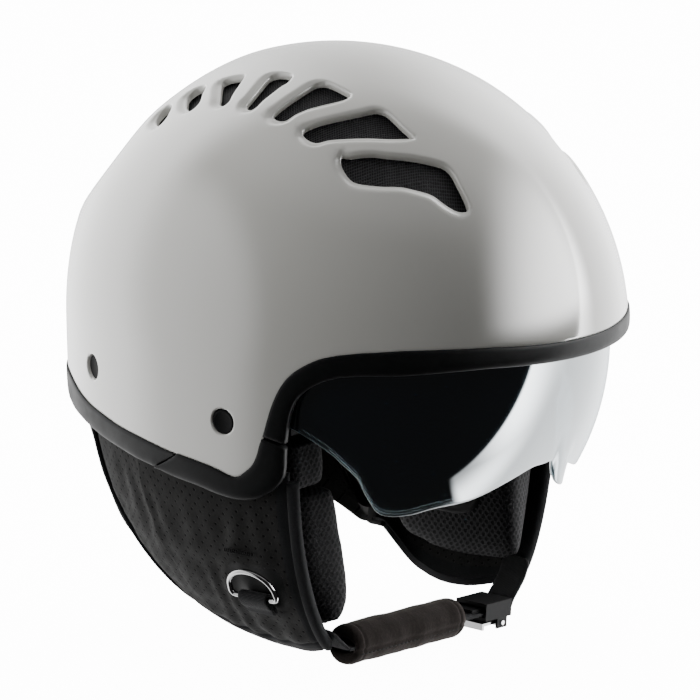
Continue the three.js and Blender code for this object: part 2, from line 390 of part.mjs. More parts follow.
run.position.set(...RUN.c); run.rotation.y = rad(RUN.tilt);
helmet.add(run);
// the run's own frame: X' along the strap towards the buckle
add('strap_run', box(-49.0, 57.5, -STRAP_W / 2, STRAP_W / 2, -STRAP_T / 2, STRAP_T / 2), MAT.web, run);
add('chin_sleeve', turned([[9.1, 0], [10.5, 0], [10.5, 87], [9.1, 87]], [-46.5, 0, 0], [1, 0, 0], 20), MAT.suede, run);
let rack = solid(box(49, 68.5, -6, 6, STRAP_T / 2 + 0.3, STRAP_T / 2 + 1.9));
for (let i = 0; i < 4; i++) rack = rack.subtract(solid(prismX([[-7, 0], [7, 0], [7, 1], [-7, 1]], 59 + i * 2.4, 60.1 + i * 2.4).translate(0, 0, STRAP_T / 2 + 1.3)));
add('ratchet_rack', rack, MAT.black, run);
let house = solid(box(56, 77.4, -9.6, 9.6, -3.4, 5.4));
house = house.subtract(solid(box(54, 74.8, -8.7, 8.7, -1.6, 3.6)));
for (const y of [-9.0, 9.0]) house = house.add(solid(box(66, 74, y - 0.6, y + 0.6, -8.6, -3.2)).subtract(solid(turned([[0, -8], [1.5, -8], [1.5, 8], [0, 8]], [70, y, -6.0], [0, 1, 0], 16))));
add('buckle_housing', house, MAT.steel, run);
const leverPlate = solid(box(57.5, 69, -7.4, 7.4, -6.6, -5.2)).add(solid(turned([[0, -7.4], [2.2, -7.4], [2.2, 7.4], [0, 7.4]], [70, 0, -6.0], [0, 1, 0], 16)))
  .add(solid(box(56.4, 58, -7.4, 7.4, -8.6, -5.2)))
  .subtract(solid(turned([[0, -9], [1.5, -9], [1.5, 9], [0, 9]], [70, 0, -6.0], [0, 1, 0], 16)));
add('release_lever', leverPlate, MAT.steel, run);
add('lever_pin', turned([[0, -10.2], [1.2, -10.2], [1.2, 10.2], [0, 10.2]], [70, 0, -6.0], [0, 1, 0], 16), MAT.steel, run);

// ------------------------------------------- helmet hook ring on the right flap
{
  const s = -1, u = 0.19, a = 0.43, p = curtain(u, a), n = curtainN(u, a);
  const O = new THREE.Vector3(s * p[0], p[1], p[2]), N = new THREE.Vector3(s * n.x, n.y, n.z);
  const Y = new THREE.Vector3(0, 1, 0).addScaledVector(N, -N.y).normalize(), Z = new THREE.Vector3().crossVectors(N, Y).normalize();
  if (Z.z < 0) Z.negate();
  const at = (y, z, d) => O.clone().addScaledVector(Y, y).addScaledVector(Z, z).addScaledVector(N, d).toArray();
  const D = []; for (let i = 0; i <= 12; i++) { const t = Math.PI * i / 12; D.push([13.5 * Math.cos(t), 2 + 13.5 * Math.sin(t) * 0.78]); }
  const loop = [...D, [-13.5, -1], [-11, -2.6], [0, -2.6], [11, -2.6], [13.5, -1]].map(q => at(q[0], q[1], RING_LIFT));
  add('hook_ring', tube(loop, 1.3, 6, 26, true), MAT.steel);
  // folded webbing tab that holds the ring's straight side: (up the flap, away from it)
  const o = [[-13, 1.0], [-2.6, 1.0]], h = [];
  for (let i = 0; i <= 6; i++) { const t = -Math.PI / 2 + Math.PI * i / 6; o.push([-2.6 + 2.9 * Math.cos(t), RING_LIFT + 2.9 * Math.sin(t)]); }
  o.push([-6, 6.3], [-9, 4.2], [-13, 3.2]);
  for (let i = 0; i < 10; i++) { const t = 2 * Math.PI * i / 10; h.push([-2.6 + 1.75 * Math.cos(t), RING_LIFT + 1.75 * Math.sin(t)]); }
  const sh = new THREE.Shape(o.map(q => new THREE.Vector2(...q))); sh.holes.push(new THREE.Path(h.map(q => new THREE.Vector2(...q))));
  const g = new THREE.ExtrudeGeometry(sh, { depth: 17, bevelEnabled: false, steps: 1 });
  g.translate(0, 0, -8.5);
  const m = new THREE.Matrix4().makeBasis(Z, N, Y.clone().multiplyScalar(new THREE.Vector3().crossVectors(Z, N).dot(Y) > 0 ? 1 : -1));
  g.applyMatrix4(m); g.translate(...O.toArray());
  add('hook_ring_tab', g, MAT.web);
}

export default helmet;
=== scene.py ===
# Looks of the open face motorcycle helmet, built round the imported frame.
import math, random
import bpy, bmesh
import numpy as np
from mathutils import Vector, Matrix, geometry as mgeo


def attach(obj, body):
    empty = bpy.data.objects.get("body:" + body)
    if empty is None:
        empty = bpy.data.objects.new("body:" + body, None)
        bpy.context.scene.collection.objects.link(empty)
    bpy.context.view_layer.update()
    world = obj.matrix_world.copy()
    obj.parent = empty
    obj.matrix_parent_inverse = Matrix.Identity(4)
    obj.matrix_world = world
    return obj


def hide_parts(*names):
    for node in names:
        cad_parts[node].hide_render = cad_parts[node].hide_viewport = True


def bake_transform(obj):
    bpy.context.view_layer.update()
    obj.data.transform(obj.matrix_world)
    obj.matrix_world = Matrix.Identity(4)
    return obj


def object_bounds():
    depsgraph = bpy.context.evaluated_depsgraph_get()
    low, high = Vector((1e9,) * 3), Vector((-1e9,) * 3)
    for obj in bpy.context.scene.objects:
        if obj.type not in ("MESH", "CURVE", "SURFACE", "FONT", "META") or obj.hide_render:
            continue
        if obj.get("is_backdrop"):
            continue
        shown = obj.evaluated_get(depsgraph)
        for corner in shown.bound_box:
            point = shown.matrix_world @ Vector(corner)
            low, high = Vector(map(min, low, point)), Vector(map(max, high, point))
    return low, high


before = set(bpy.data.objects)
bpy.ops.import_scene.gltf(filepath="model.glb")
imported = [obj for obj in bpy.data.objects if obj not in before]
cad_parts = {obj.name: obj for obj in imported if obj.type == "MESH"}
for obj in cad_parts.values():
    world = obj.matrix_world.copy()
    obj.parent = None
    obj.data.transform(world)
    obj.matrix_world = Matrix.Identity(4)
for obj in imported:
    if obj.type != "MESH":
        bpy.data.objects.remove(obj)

CAD_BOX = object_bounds()
MM = 0.001
rng = np.random.default_rng(7)

# ------------------------------------------------------------------ camera
AZ, EL, DIST, FPX = math.radians(-50.721), math.radians(12.728), 1.8, 2.019 * 1800
U0, V0 = 345.527, 314.989
BACK = Vector((math.sin(AZ) * math.cos(EL), -math.cos(AZ) * math.cos(EL), math.sin(EL)))
RIGHT = Vector((math.cos(AZ), math.sin(AZ), 0.0))
UP = BACK.cross(RIGHT)
cam_data = bpy.data.cameras.new("camera")
cam = bpy.data.objects.new("camera", cam_data)
bpy.context.scene.collection.objects.link(cam)
cam.matrix_world = Matrix((
    (RIGHT.x, UP.x, BACK.x, BACK.x * DIST),
    (RIGHT.y, UP.y, BACK.y, BACK.y * DIST),
    (RIGHT.z, UP.z, BACK.z, BACK.z * DIST), (0, 0, 0, 1)))
cam_data.sensor_width = 36.0
cam_data.lens = FPX * 36.0 / 700
cam_data.shift_x = (350 - U0) / 700
cam_data.shift_y = (V0 - 350) / 700
cam_data.clip_start, cam_data.clip_end = 0.05, 30
bpy.context.scene.camera = cam

# ------------------------------------------------- the helmet's own surfaces
SHELL = dict(A=119.0, bf=149.202, br=153.033, cu=135.742, cd=456.918, pf=1.998, pr=2.056, qu=2.009, qd=2.0, wall=4.0)
PLANES = [((0.0, math.cos(math.radians(41.547)), math.sin(math.radians(41.547))), 137.579, 19.109), ((0.473, 0.66, 0.613), 137.344, 2.0)]
PANEL = (-53.0, 10.0, 187.0, 400.0, 4.0)
CAV = np.array([84.0, 104.0, 105.0])
VC, VA, VR, VP = np.array([0.0, -3.0, -7.0]), 109.0, 128.5, 2.4
RUN_C, RUN_TILT = np.array([-20.5, -52.5, -147.35]), math.radians(4.39)
CAPS = {"front": ((118.2, -21.5, -28), (0.993, -0.115, -0.016)), "rear": ((105.2, 73, -18), (0.926, 0.377, -0.011))}
EDGE = [(-220, 11), (-149, 11), (-132, 12.5), (-118, 12.5), (-103, 12), (-87, 10.5), (-78, 9), (-71, 7), (-65, 4), (-58, -1), (-53, -7), (-49, -15), (-46, -24), (-44, -31), (-42, -35), (-40.5, -42), (-38, -47), (-34, -51), (-29.5, -54), (-25, -54), (-16, -51.5), (-4, -49.5), (9, -48), (21, -46.5), (35, -44.5), (50, -42.5), (64, -40), (76, -38), (88, -35), (97, -32), (106, -29), (120, -25), (134, -22), (220, -10)]
VENTS = [
    [(70.5, -55.5), (69, -59), (63, -67), (58, -75), (52, -83), (46, -91), (43, -95), (42, -99), (43, -104), (45, -111.5), (48.5, -110), (51, -107), (53, -103), (55, -98), (59, -92), (63, -86), (69, -78), (74, -69), (75, -64), (73.5, -58)],
    [(70, -31), (68, -32), (64, -36), (57, -44), (50, -51), (45, -55), (43, -59), (43, -63), (44, -70), (44.5, -78), (46.5, -76), (52, -70), (57, -63), (63, -54), (68, -46), (71, -42), (72, -38), (71.5, -33)],
    [(68, -10.5), (65, -11), (60, -13), (53, -16), (47, -18), (44.5, -20), (43, -24), (43.5, -32), (44.5, -39.5), (47, -39.5), (51, -36), (56, -30.5), (60, -26), (64, -22.5), (68, -19.5), (69, -15)],
    [(65, 9), (60, 9), (54, 9.3), (47, 10), (44.5, 8), (43.5, 4), (44, -2), (45.5, -4), (49, -4), (52, -2.5), (57, -1), (61, 0.5), (65, 2), (66.5, 5)],
    [(63, 28), (59, 31), (51, 37), (48, 38), (46.3, 34), (46, 26), (48, 24.5), (53, 23), (58, 22), (63, 21.2), (64.5, 24)],
    [(62, 50), (58, 54), (53, 57), (49.5, 54.5), (49, 50), (51, 46.5), (56, 44), (61, 41.5), (63.5, 42.5), (64, 46)],
    [(65, 67), (61.5, 71), (57, 71), (55.2, 67), (57.5, 63), (61, 61), (65, 60.5), (66.5, 63.5)],
]
LENS_LOW = [(0, -22.3), (10, -22.5), (26, -25.3), (42, -29.1), (57, -32.2), (66, -36), (72, -38.2), (76.6, -38.7), (80.3, -37), (84.6, -33.9), (87.7, -30.9), (92, -28.6), (96, -26.4), (100, -25), (104, -25), (107, -31), (108.4, -46)]
LENS_UP = [(0, 17), (80, 17), (92, 16), (100, 15), (104, 18), (107, 28), (108.4, 46)]
HEM = [(76, -50, -144.5), (72, -38, -148.5), (67, -25, -151), (66, -8, -151), (69, 12, -146.5), (71, 32, -138), (70, 57, -126), (64, 80, -113), (52, 103, -100), (30, 119, -91), (0, 123, -88)]
CURTAIN_TOP = [(-80, -50), (-25, -51.5), (-16, -51), (-4, -49), (9, -47.5), (35, -44), (64, -39.5), (88, -34), (106, -28), (134, -21), (200, -21)]
SEAM_PHI, SEAM_W, FRONT_PHI = 136.0, 0.378, 64.5
# pairs of points, shell edge and trim's lower edge, down the side and back
PAIRS = [((-78, 9), (-79, -1)), ((-71, 7), (-72.5, -3.2)), ((-65, 4), (-67.5, -5.8)), ((-58, -1), (-62, -10.2)), ((-53, -7), (-58.7, -14.5)), ((-49, -15), (-56.3, -20.5)), ((-46, -24), (-54.8, -28)), ((-44, -31), (-54, -33.5)), ((-42.2, -36), (-53.5, -40)), ((-40.5, -42), (-53, -48)), ((-38, -47), (-51.5, -53)), ((-34, -51), (-46.5, -58.5)), ((-29.5, -54), (-38, -63.5)), ((-25, -54), (-28, -65)), ((-16, -51.5), (-17, -64)), ((-4, -49.5), (-5, -61.7)), ((9, -48), (9.5, -60)), ((21, -46.5), (22, -57.6)), ((35, -44.5), (35.5, -56)), ((50, -42.5), (50.5, -53.5)), ((64, -40), (65, -51.5)), ((76, -38), (77, -49.5)), ((88, -35), (89, -47.5)), ((97, -32), (99, -46)), ((106, -29), (108, -43.8))]


def table(t, x):
    x = np.asarray(x, float)
    a = np.array(t, float)
    return np.interp(x, a[:, 0], a[:, 1])


def smin(a, b, k):
    h = np.clip(0.5 + 0.5 * (b - a) / k, 0, 1)
    return b * (1 - h) + a * h - k * h * (1 - h)


def shell_r(d):
    """Distance from the head centre to the shell's outer face along unit directions d (..., 3), mm."""
    dx, dy, dz = np.abs(d[..., 0]), d[..., 1], d[..., 2]
    front = dy < 0
    p = np.where(front, SHELL["pf"], SHELL["pr"]); b = np.where(front, SHELL["bf"], SHELL["br"])
    up = dz > 0
    c = np.where(up, SHELL["cu"], SHELL["cd"]); q = np.where(up, SHELL["qu"], SHELL["qd"])
    h = ((dx / SHELL["A"]) ** p + (np.abs(dy) / b) ** p) ** (1 / p)
    r = (h ** q + (np.abs(dz) / c) ** q) ** (-1 / q)
    for n, k, rad in PLANES:
        n = np.array(n); n = n / np.linalg.norm(n)
        nd = dx * n[0] + dy * n[1] + dz * n[2]
        r = smin(r, np.where(nd > 1e-3, np.minimum(k / np.maximum(nd, 1e-3), 400), 400.0), rad)
    yc, zc, R, Rz, rad = PANEL
    aa = (dx ** 2 + dy ** 2) / R ** 2 + dz ** 2 / Rz ** 2
    bb = -(dy * yc) / R ** 2 - dz * zc / Rz ** 2
    cc = yc ** 2 / R ** 2 + zc ** 2 / Rz ** 2 - 1
    rp = np.where(dy > 0.15, (-bb + np.sqrt(np.maximum(bb * bb - aa * cc, 0))) / aa, 400.0)
    return smin(r, np.minimum(rp, 400.0), rad)


def dir_of(th, ph):
    return np.stack([np.sin(th) * np.sin(ph), -np.sin(th) * np.cos(ph), np.cos(th)], -1)


def shell_rho(ph, z):
    ph = np.asarray(ph, float); z = np.asarray(z, float) + 0 * ph
    rho = np.full(np.broadcast(ph, z).shape, 120.0)
    for _ in range(40):
        th = np.arctan2(rho, z)
        rho = 0.5 * rho + 0.5 * shell_r(dir_of(th, ph)) * np.sin(th)
    return rho


def shell_x(y, z, off=0.0):
    """x >= 0 of the shell (moved out by off) at given y, z."""
    y = np.asarray(y, float); z = np.asarray(z, float)
    lo = np.zeros(np.broadcast(y, z).shape); hi = lo + 140.0
    for _ in range(40):
        m = (lo + hi) / 2
        v = np.stack([m, y + 0 * m, z + 0 * m], -1); L = np.linalg.norm(v, axis=-1)
        inside = L < shell_r(v / L[..., None]) + off
        lo = np.where(inside, m, lo); hi = np.where(inside, hi, m)
    return lo


def cav_r(d):
    return 1 / np.sqrt(((d / CAV) ** 2).sum(-1))


def _hem_tables():
    P = np.array(HEM, float); n = len(P) - 1
    out = []
    for u in np.linspace(0, 1, 401):
        k = min(n - 1, int(u * n)); t = u * n - k
        p0 = P[k - 1] if k else 2 * P[0] - P[1]
        p1, p2 = P[k], P[k + 1]
        p3 = P[k + 2] if k + 2 <= n else P[n - 1] * np.array([-1, 1, 1])
        out.append(0.5 * (2 * p1 + (p2 - p0) * t + (2 * p0 - 5 * p1 + 4 * p2 - p3) * t * t + (3 * p1 - p0 - 3 * p2 + p3) * t ** 3))
    out = np.array(out)
    L = np.concatenate([[0], np.cumsum(np.linalg.norm(np.diff(out, axis=0), axis=1))])
    return out, L / L[-1], L[-1]


HEM_P, HEM_L, HEM_LEN = _hem_tables()


def hem(w):
    return np.stack([np.interp(w, HEM_L, HEM_P[:, i]) for i in range(3)], -1)


_phi = np.linspace(FRONT_PHI - 4, 180, 240)
_z = np.full_like(_phi, -45.0)
for _ in range(8):
    _rho = shell_rho(np.radians(_phi), _z) - np.where(_phi > 112, 7.4, 5.9) + np.where(_phi > 112, 1.2 * np.exp(-(_phi - 112) / 6), 0)
    _z = table(CURTAIN_TOP, -_rho * np.cos(np.radians(_phi)))


def curtain_top(phi):
    rho = np.interp(phi, _phi, _rho); z = np.interp(phi, _phi, _z); p = np.radians(phi)
    return np.stack([rho * np.sin(p), -rho * np.cos(p), z], -1)


def curtain(u, a):
    """Curtain's outer face on the +X side: u 0 front edge, 1 seam, 2 nape; a 0 top, 1 hem."""
    u = np.asarray(u, float); a = np.asarray(a, float)
    phi = np.where(u <= 1, FRONT_PHI + (SEAM_PHI - FRONT_PHI) * u, SEAM_PHI + (180 - SEAM_PHI) * (u - 1))
    w = np.where(u <= 1, SEAM_W * u, SEAM_W + (1 - SEAM_W) * (u - 1))
    U, L = curtain_top(phi), hem(np.clip(w, 0, 1))
    th = a * math.pi / 2
    g = np.maximum(0, np.cos(th)) ** 1.44; tau = np.sin(th)
    return np.stack([L[..., 0] + (U[..., 0] - L[..., 0]) * g, L[..., 1] + (U[..., 1] - L[..., 1]) * g, U[..., 2] + (L[..., 2] - U[..., 2]) * tau], -1)


def curtain_n(u, a):
    e = 0.006
    u = np.asarray(u, float); A = np.minimum(np.asarray(a, float), 0.985)
    u0, u1 = np.maximum(0, u - e), np.minimum(2, u + e)
    n = np.cross(curtain(u1, A) - curtain(u0, A), curtain(u, A + e) - curtain(u, np.maximum(A - e, 0)))
    n /= np.maximum(np.linalg.norm(n, axis=-1, keepdims=True), 1e-9)
    p = curtain(u, A)
    s = np.sign(n[..., 0] * p[..., 0] + n[..., 1] * (p[..., 1] - 25) + n[..., 2] * (p[..., 2] + 60))
    return n * np.where(s == 0, 1, s)[..., None]


# -------------------------------------------------------------- mesh helpers
def new_object(name, verts, faces, uvs=None, smooth=True, mat=None):
    """verts in mm; uvs one per vertex."""
    me = bpy.data.meshes.new(name)
    me.from_pydata([tuple(v) for v in np.asarray(verts, float) * MM], [], [tuple(int(i) for i in f) for f in faces])
    me.validate(); me.update()
    if uvs is not None:
        lay = me.uv_layers.new(name="flat")
        idx = np.empty(len(me.loops), np.int32); me.loops.foreach_get("vertex_index", idx)
        lay.data.foreach_set("uv", np.asarray(uvs, np.float32)[idx].ravel())
    o = bpy.data.objects.new(name, me)
    bpy.context.scene.collection.objects.link(o)
    if smooth:
        me.polygons.foreach_set("use_smooth", [True] * len(me.polygons))
    if mat is not None:
        me.materials.append(mat)
    return o


def face_out(o):
    """Makes the faces' directions agree and point out."""
    bm = bmesh.new(); bm.from_mesh(o.data)
    bmesh.ops.recalc_face_normals(bm, faces=bm.faces)
    if bm.calc_volume(signed=True) < 0:
        bmesh.ops.reverse_faces(bm, faces=bm.faces)
    bm.to_mesh(o.data); bm.free(); o.data.update()
    return o


def grid_faces(nu, nv, base=0, wrap_u=False, wrap_v=False, flip=False):
    """Quads on an nu x nv vertex grid (index = i*nv + j)."""
    f = []
    for i in range(nu if wrap_u else nu - 1):
        for j in range(nv if wrap_v else nv - 1):
            a, b = base + i * nv + j, base + ((i + 1) % nu) * nv + j
            c, d = base + ((i + 1) % nu) * nv + (j + 1) % nv, base + i * nv + (j + 1) % nv
            f.append((a, d, c, b) if flip else (a, b, c, d))
    return f


def slab_mesh(name, outer, inner, uv=None, mat=None, smooth=True):
    """Closed slab from two (nu, nv, 3) grids."""
    nu, nv = outer.shape[:2]
    N = nu * nv
    v = np.concatenate([outer.reshape(-1, 3), inner.reshape(-1, 3)])
    f = grid_faces(nu, nv) + grid_faces(nu, nv, base=N, flip=True)
    for i in range(nu - 1):
        for j, fl in ((0, False), (nv - 1, True)):
            q = [i * nv + j, N + i * nv + j, N + (i + 1) * nv + j, (i + 1) * nv + j]
            f.append(tuple(q[::-1] if fl else q))
    for j in range(nv - 1):
        for i, fl in ((0, True), (nu - 1, False)):
            q = [i * nv + j, N + i * nv + j, N + i * nv + j + 1, i * nv + j + 1]
            f.append(tuple(q[::-1] if fl else q))
    uvs = None
    if uv is not None:
        uvs = np.concatenate([uv.reshape(-1, 2)] * 2)
    return face_out(new_object(name, v, f, uvs, smooth, mat))


def sweep(name, path, sections, closed=False, mat=None, caps=True, uv_scale=None, smooth=True):
    """Path (n,3) of section origins is only for uv; sections (n, m, 3) are closed rings of points."""
    n, m = sections.shape[:2]
    v = sections.reshape(-1, 3)
    f = grid_faces(n, m, wrap_u=closed, wrap_v=True)
    uvs = None
    if uv_scale is not None:
        s = np.concatenate([[0], np.cumsum(np.linalg.norm(np.diff(path, axis=0), axis=1))])
        ring = np.concatenate([[0], np.cumsum(np.linalg.norm(np.diff(sections[n // 2], axis=0), axis=1))])
        uvs = np.stack(np.broadcast_arrays(s[:, None], ring[None, :]), -1).reshape(-1, 2) * uv_scale
    if not closed and caps:
        for e in (0, n - 1):
            c = len(v); v = np.concatenate([v, v[e * m:(e + 1) * m].mean(0, keepdims=True)])
            if uvs is not None:
                uvs = np.concatenate([uvs, uvs[e * m:e * m + 1]])
            for k in range(m):
                a, b = e * m + k, e * m + (k + 1) % m
                f.append((a, b, c) if e else (b, a, c))
    return face_out(new_object(name, v, f, uvs, smooth, mat))


def smooth_path(pts, n, closed=False):
    """Catmull-Rom through points, resampled evenly to n points."""
    P = np.array(pts, float)
    out = []
    m = len(P)
    segs = m if closed else m - 1
    for k in range(segs):
        g = lambda i: P[i % m] if closed else (P[i] if 0 <= i < m else (2 * P[0] - P[1] if i < 0 else 2 * P[-1] - P[-2]))
        p0, p1, p2, p3 = g(k - 1), g(k), g(k + 1), g(k + 2)
        for t in np.linspace(0, 1, 24, endpoint=False):
            out.append(0.5 * (2 * p1 + (p2 - p0) * t + (2 * p0 - 5 * p1 + 4 * p2 - p3) * t * t + (3 * p1 - p0 - 3 * p2 + p3) * t ** 3))
    out.append(P[0] if closed else P[-1])
    out = np.array(out)
    L = np.concatenate([[0], np.cumsum(np.linalg.norm(np.diff(out, axis=0), axis=1))])
    s = np.linspace(0, L[-1], n, endpoint=not closed)
    return np.stack([np.interp(s, L, out[:, i]) for i in range(P.shape[1])], -1)


def tube(name, pts, r, n=80, sides=14, closed=False, mat=None, up=(0, 0, 1), flat=1.0, resample=True):
    P = smooth_path(pts, n, closed) if resample else np.array(pts, float)
    n = len(P)
    T = (np.roll(P, -1, 0) - np.roll(P, 1, 0)) if closed else np.gradient(P, axis=0)
    T /= np.linalg.norm(T, axis=1, keepdims=True)
    N = np.zeros_like(P); ref = np.array(up, float)
    x = ref - T[0] * (ref @ T[0])
    if np.linalg.norm(x) < 1e-3:
        x = np.cross(T[0], [1, 0, 0])
    N[0] = x / np.linalg.norm(x)
    for i in range(1, n):
        x = N[i - 1] - T[i] * (N[i - 1] @ T[i]); N[i] = x / np.linalg.norm(x)
    B = np.cross(T, N)
    r = np.broadcast_to(np.asarray(r, float), (n,))
    a = np.linspace(0, 2 * math.pi, sides, endpoint=False)
    sec = P[:, None] + r[:, None, None] * (np.cos(a)[None, :, None] * N[:, None] * flat + np.sin(a)[None, :, None] * B[:, None])
    return sweep(name, P, sec, closed=closed, mat=mat)


def join(objs, name):
    bpy.ops.object.select_all(action="DESELECT")
    for o in objs:
        o.select_set(True)
    bpy.context.view_layer.objects.active = objs[0]
    bpy.ops.object.join()
    objs[0].name = name; objs[0].data.name = name
    return objs[0]


def lathe(name, prof, at, n, seg=48, mat=None):
    """prof: (radius, height along n) from axis to axis."""
    n = np.array(n, float); n /= np.linalg.norm(n)
    a = np.cross(n, [0, 0, 1.0]); a /= np.linalg.norm(a); b = np.cross(n, a)
    t = np.linspace(0, 2 * math.pi, seg, endpoint=False)
    v, f, k = [], [], []
    for r, h in prof:
        if r < 1e-6:
            k.append((len(v), 1)); v.append(np.array(at) + n * h)
        else:
            k.append((len(v), seg)); v += [np.array(at) + n * h + r * (math.cos(x) * a + math.sin(x) * b) for x in t]
    for (i0, c0), (i1, c1) in zip(k[:-1], k[1:]):
        for j in range(seg):
            A, B = i0 + (j if c0 > 1 else 0), i0 + ((j + 1) % seg if c0 > 1 else 0)
            C, D = i1 + ((j + 1) % seg if c1 > 1 else 0), i1 + (j if c1 > 1 else 0)
            q = []
            for x in (A, B, C, D):
                if x not in q:
                    q.append(x)
            if len(q) > 2:
                f.append(tuple(q))
    return face_out(new_object(name, v, f, None, True, mat))


def bevel(o, w=0.3, seg=2, angle=35):
    m = o.modifiers.new("edge", "BEVEL"); m.width = w * MM; m.segments = seg; m.limit_method = "ANGLE"; m.angle_limit = math.radians(angle)
    m.harden_normals = False
    return o


# ---------------------------------------------------------------- materials
class Mat:
    """A node material in steps: colours, then bump."""

    def __init__(self, name, rough=0.5, metal=0.0, coat=0.0, ior=1.5, coords="Object"):
        self.m = bpy.data.materials.new(name); self.m.use_nodes = True
        self.nt = self.m.node_tree; self.nt.nodes.clear()
        self.out = self.n("OutputMaterial"); self.b = self.n("BsdfPrincipled")
        self.link(self.b.outputs[0], self.out.inputs[0])
        self.set(self.b, Roughness=rough, Metallic=metal, IOR=ior)
        self.b.inputs["Coat Weight"].default_value = coat
        self.b.inputs["Coat Roughness"].default_value = 0.03
        tc = self.n("TexCoord"); self.pos = tc.outputs["Object"]
        uv = self.n("UVMap"); uv.uv_map = "flat"; self.uv = uv.outputs[0]
        self.normal = None

    def n(self, kind, **kw):
        x = self.nt.nodes.new("ShaderNode" + kind)
        for k, v in kw.items():
            setattr(x, k, v)
        return x

    def link(self, a, b):
        self.nt.links.new(a, b)

    def set(self, node, **kw):
        for k, v in kw.items():
            node.inputs[k.replace("_", " ")].default_value = v

    def noise(self, scale, detail=3.0, rough=0.55, src=None, stretch=(1, 1, 1)):
        mp = self.n("Mapping"); mp.inputs["Scale"].default_value = stretch
        self.link(src or self.pos, mp.inputs[0])
        x = self.n("TexNoise"); self.set(x, Scale=scale, Detail=detail, Roughness=rough)
        self.link(mp.outputs[0], x.inputs["Vector"])
        return x.outputs["Fac"]

    def remap(self, fac, a, b, c=0.0, d=1.0):
        x = self.n("MapRange"); x.clamp = True
        for i, v in enumerate((a, b, c, d)):
            x.inputs[i + 1].default_value = v
        self.link(fac, x.inputs[0])
        return x.outputs[0]

    def mix(self, fac, c1, c2):
        x = self.n("Mix", data_type="RGBA")
        if isinstance(fac, (int, float)):
            x.inputs[0].default_value = fac
        else:
            self.link(fac, x.inputs[0])
        for i, c in ((6, c1), (7, c2)):
            if isinstance(c, tuple):
                x.inputs[i].default_value = (*c, 1)
            else:
                self.link(c, x.inputs[i])
        return x.outputs[2]

    def math(self, op, a, b=0.0):
        x = self.n("Math", operation=op)
        for i, v in enumerate((a, b)):
            if isinstance(v, (int, float)):
                x.inputs[i].default_value = v
            else:
                self.link(v, x.inputs[i])
        return x.outputs[0]

    def dots(self, px, py, src=None):
        """Distance (in the coordinates' unit) to the nearest point of a staggered lattice."""
        ds = []
        for o in (0.0, 0.5):
            mp = self.n("Mapping"); mp.inputs["Scale"].default_value = (1 / px, 1 / py, 0); mp.inputs["Location"].default_value = (o, o, 0)
            self.link(src or self.uv, mp.inputs[0])
            fr = self.n("VectorMath", operation="FRACTION"); self.link(mp.outputs[0], fr.inputs[0])
            sb = self.n("VectorMath", operation="SUBTRACT"); self.link(fr.outputs[0], sb.inputs[0]); sb.inputs[1].default_value = (0.5, 0.5, 0)
            ml = self.n("VectorMath", operation="MULTIPLY"); self.link(sb.outputs[0], ml.inputs[0]); ml.inputs[1].default_value = (px, py, 0)
            ln = self.n("VectorMath", operation="LENGTH"); self.link(ml.outputs[0], ln.inputs[0])
            ds.append(ln.outputs["Value"])
        return self.math("MINIMUM", *ds)

    def color(self, c):
        self.link(c, self.b.inputs["Base Color"])
        return self

    def rough(self, f):
        self.link(f, self.b.inputs["Roughness"])
        return self

    def bump(self, height, strength, dist_mm):
        x = self.n("Bump"); self.set(x, Strength=strength, Distance=dist_mm * MM)
        self.link(height, x.inputs["Height"])
        if self.normal is not None:
            self.link(self.normal, x.inputs["Normal"])
        self.normal = x.outputs[0]
        self.link(self.normal, self.b.inputs["Normal"])
        return self

    def spec(self, v):
        self.b.inputs["Specular IOR Level"].default_value = v
        return self

    def sheen(self, w, rough=0.4, tint=(1, 1, 1)):
        self.b.inputs["Sheen Weight"].default_value = w
        self.b.inputs["Sheen Roughness"].default_value = rough
        self.b.inputs["Sheen Tint"].default_value = (*tint, 1)
        return self


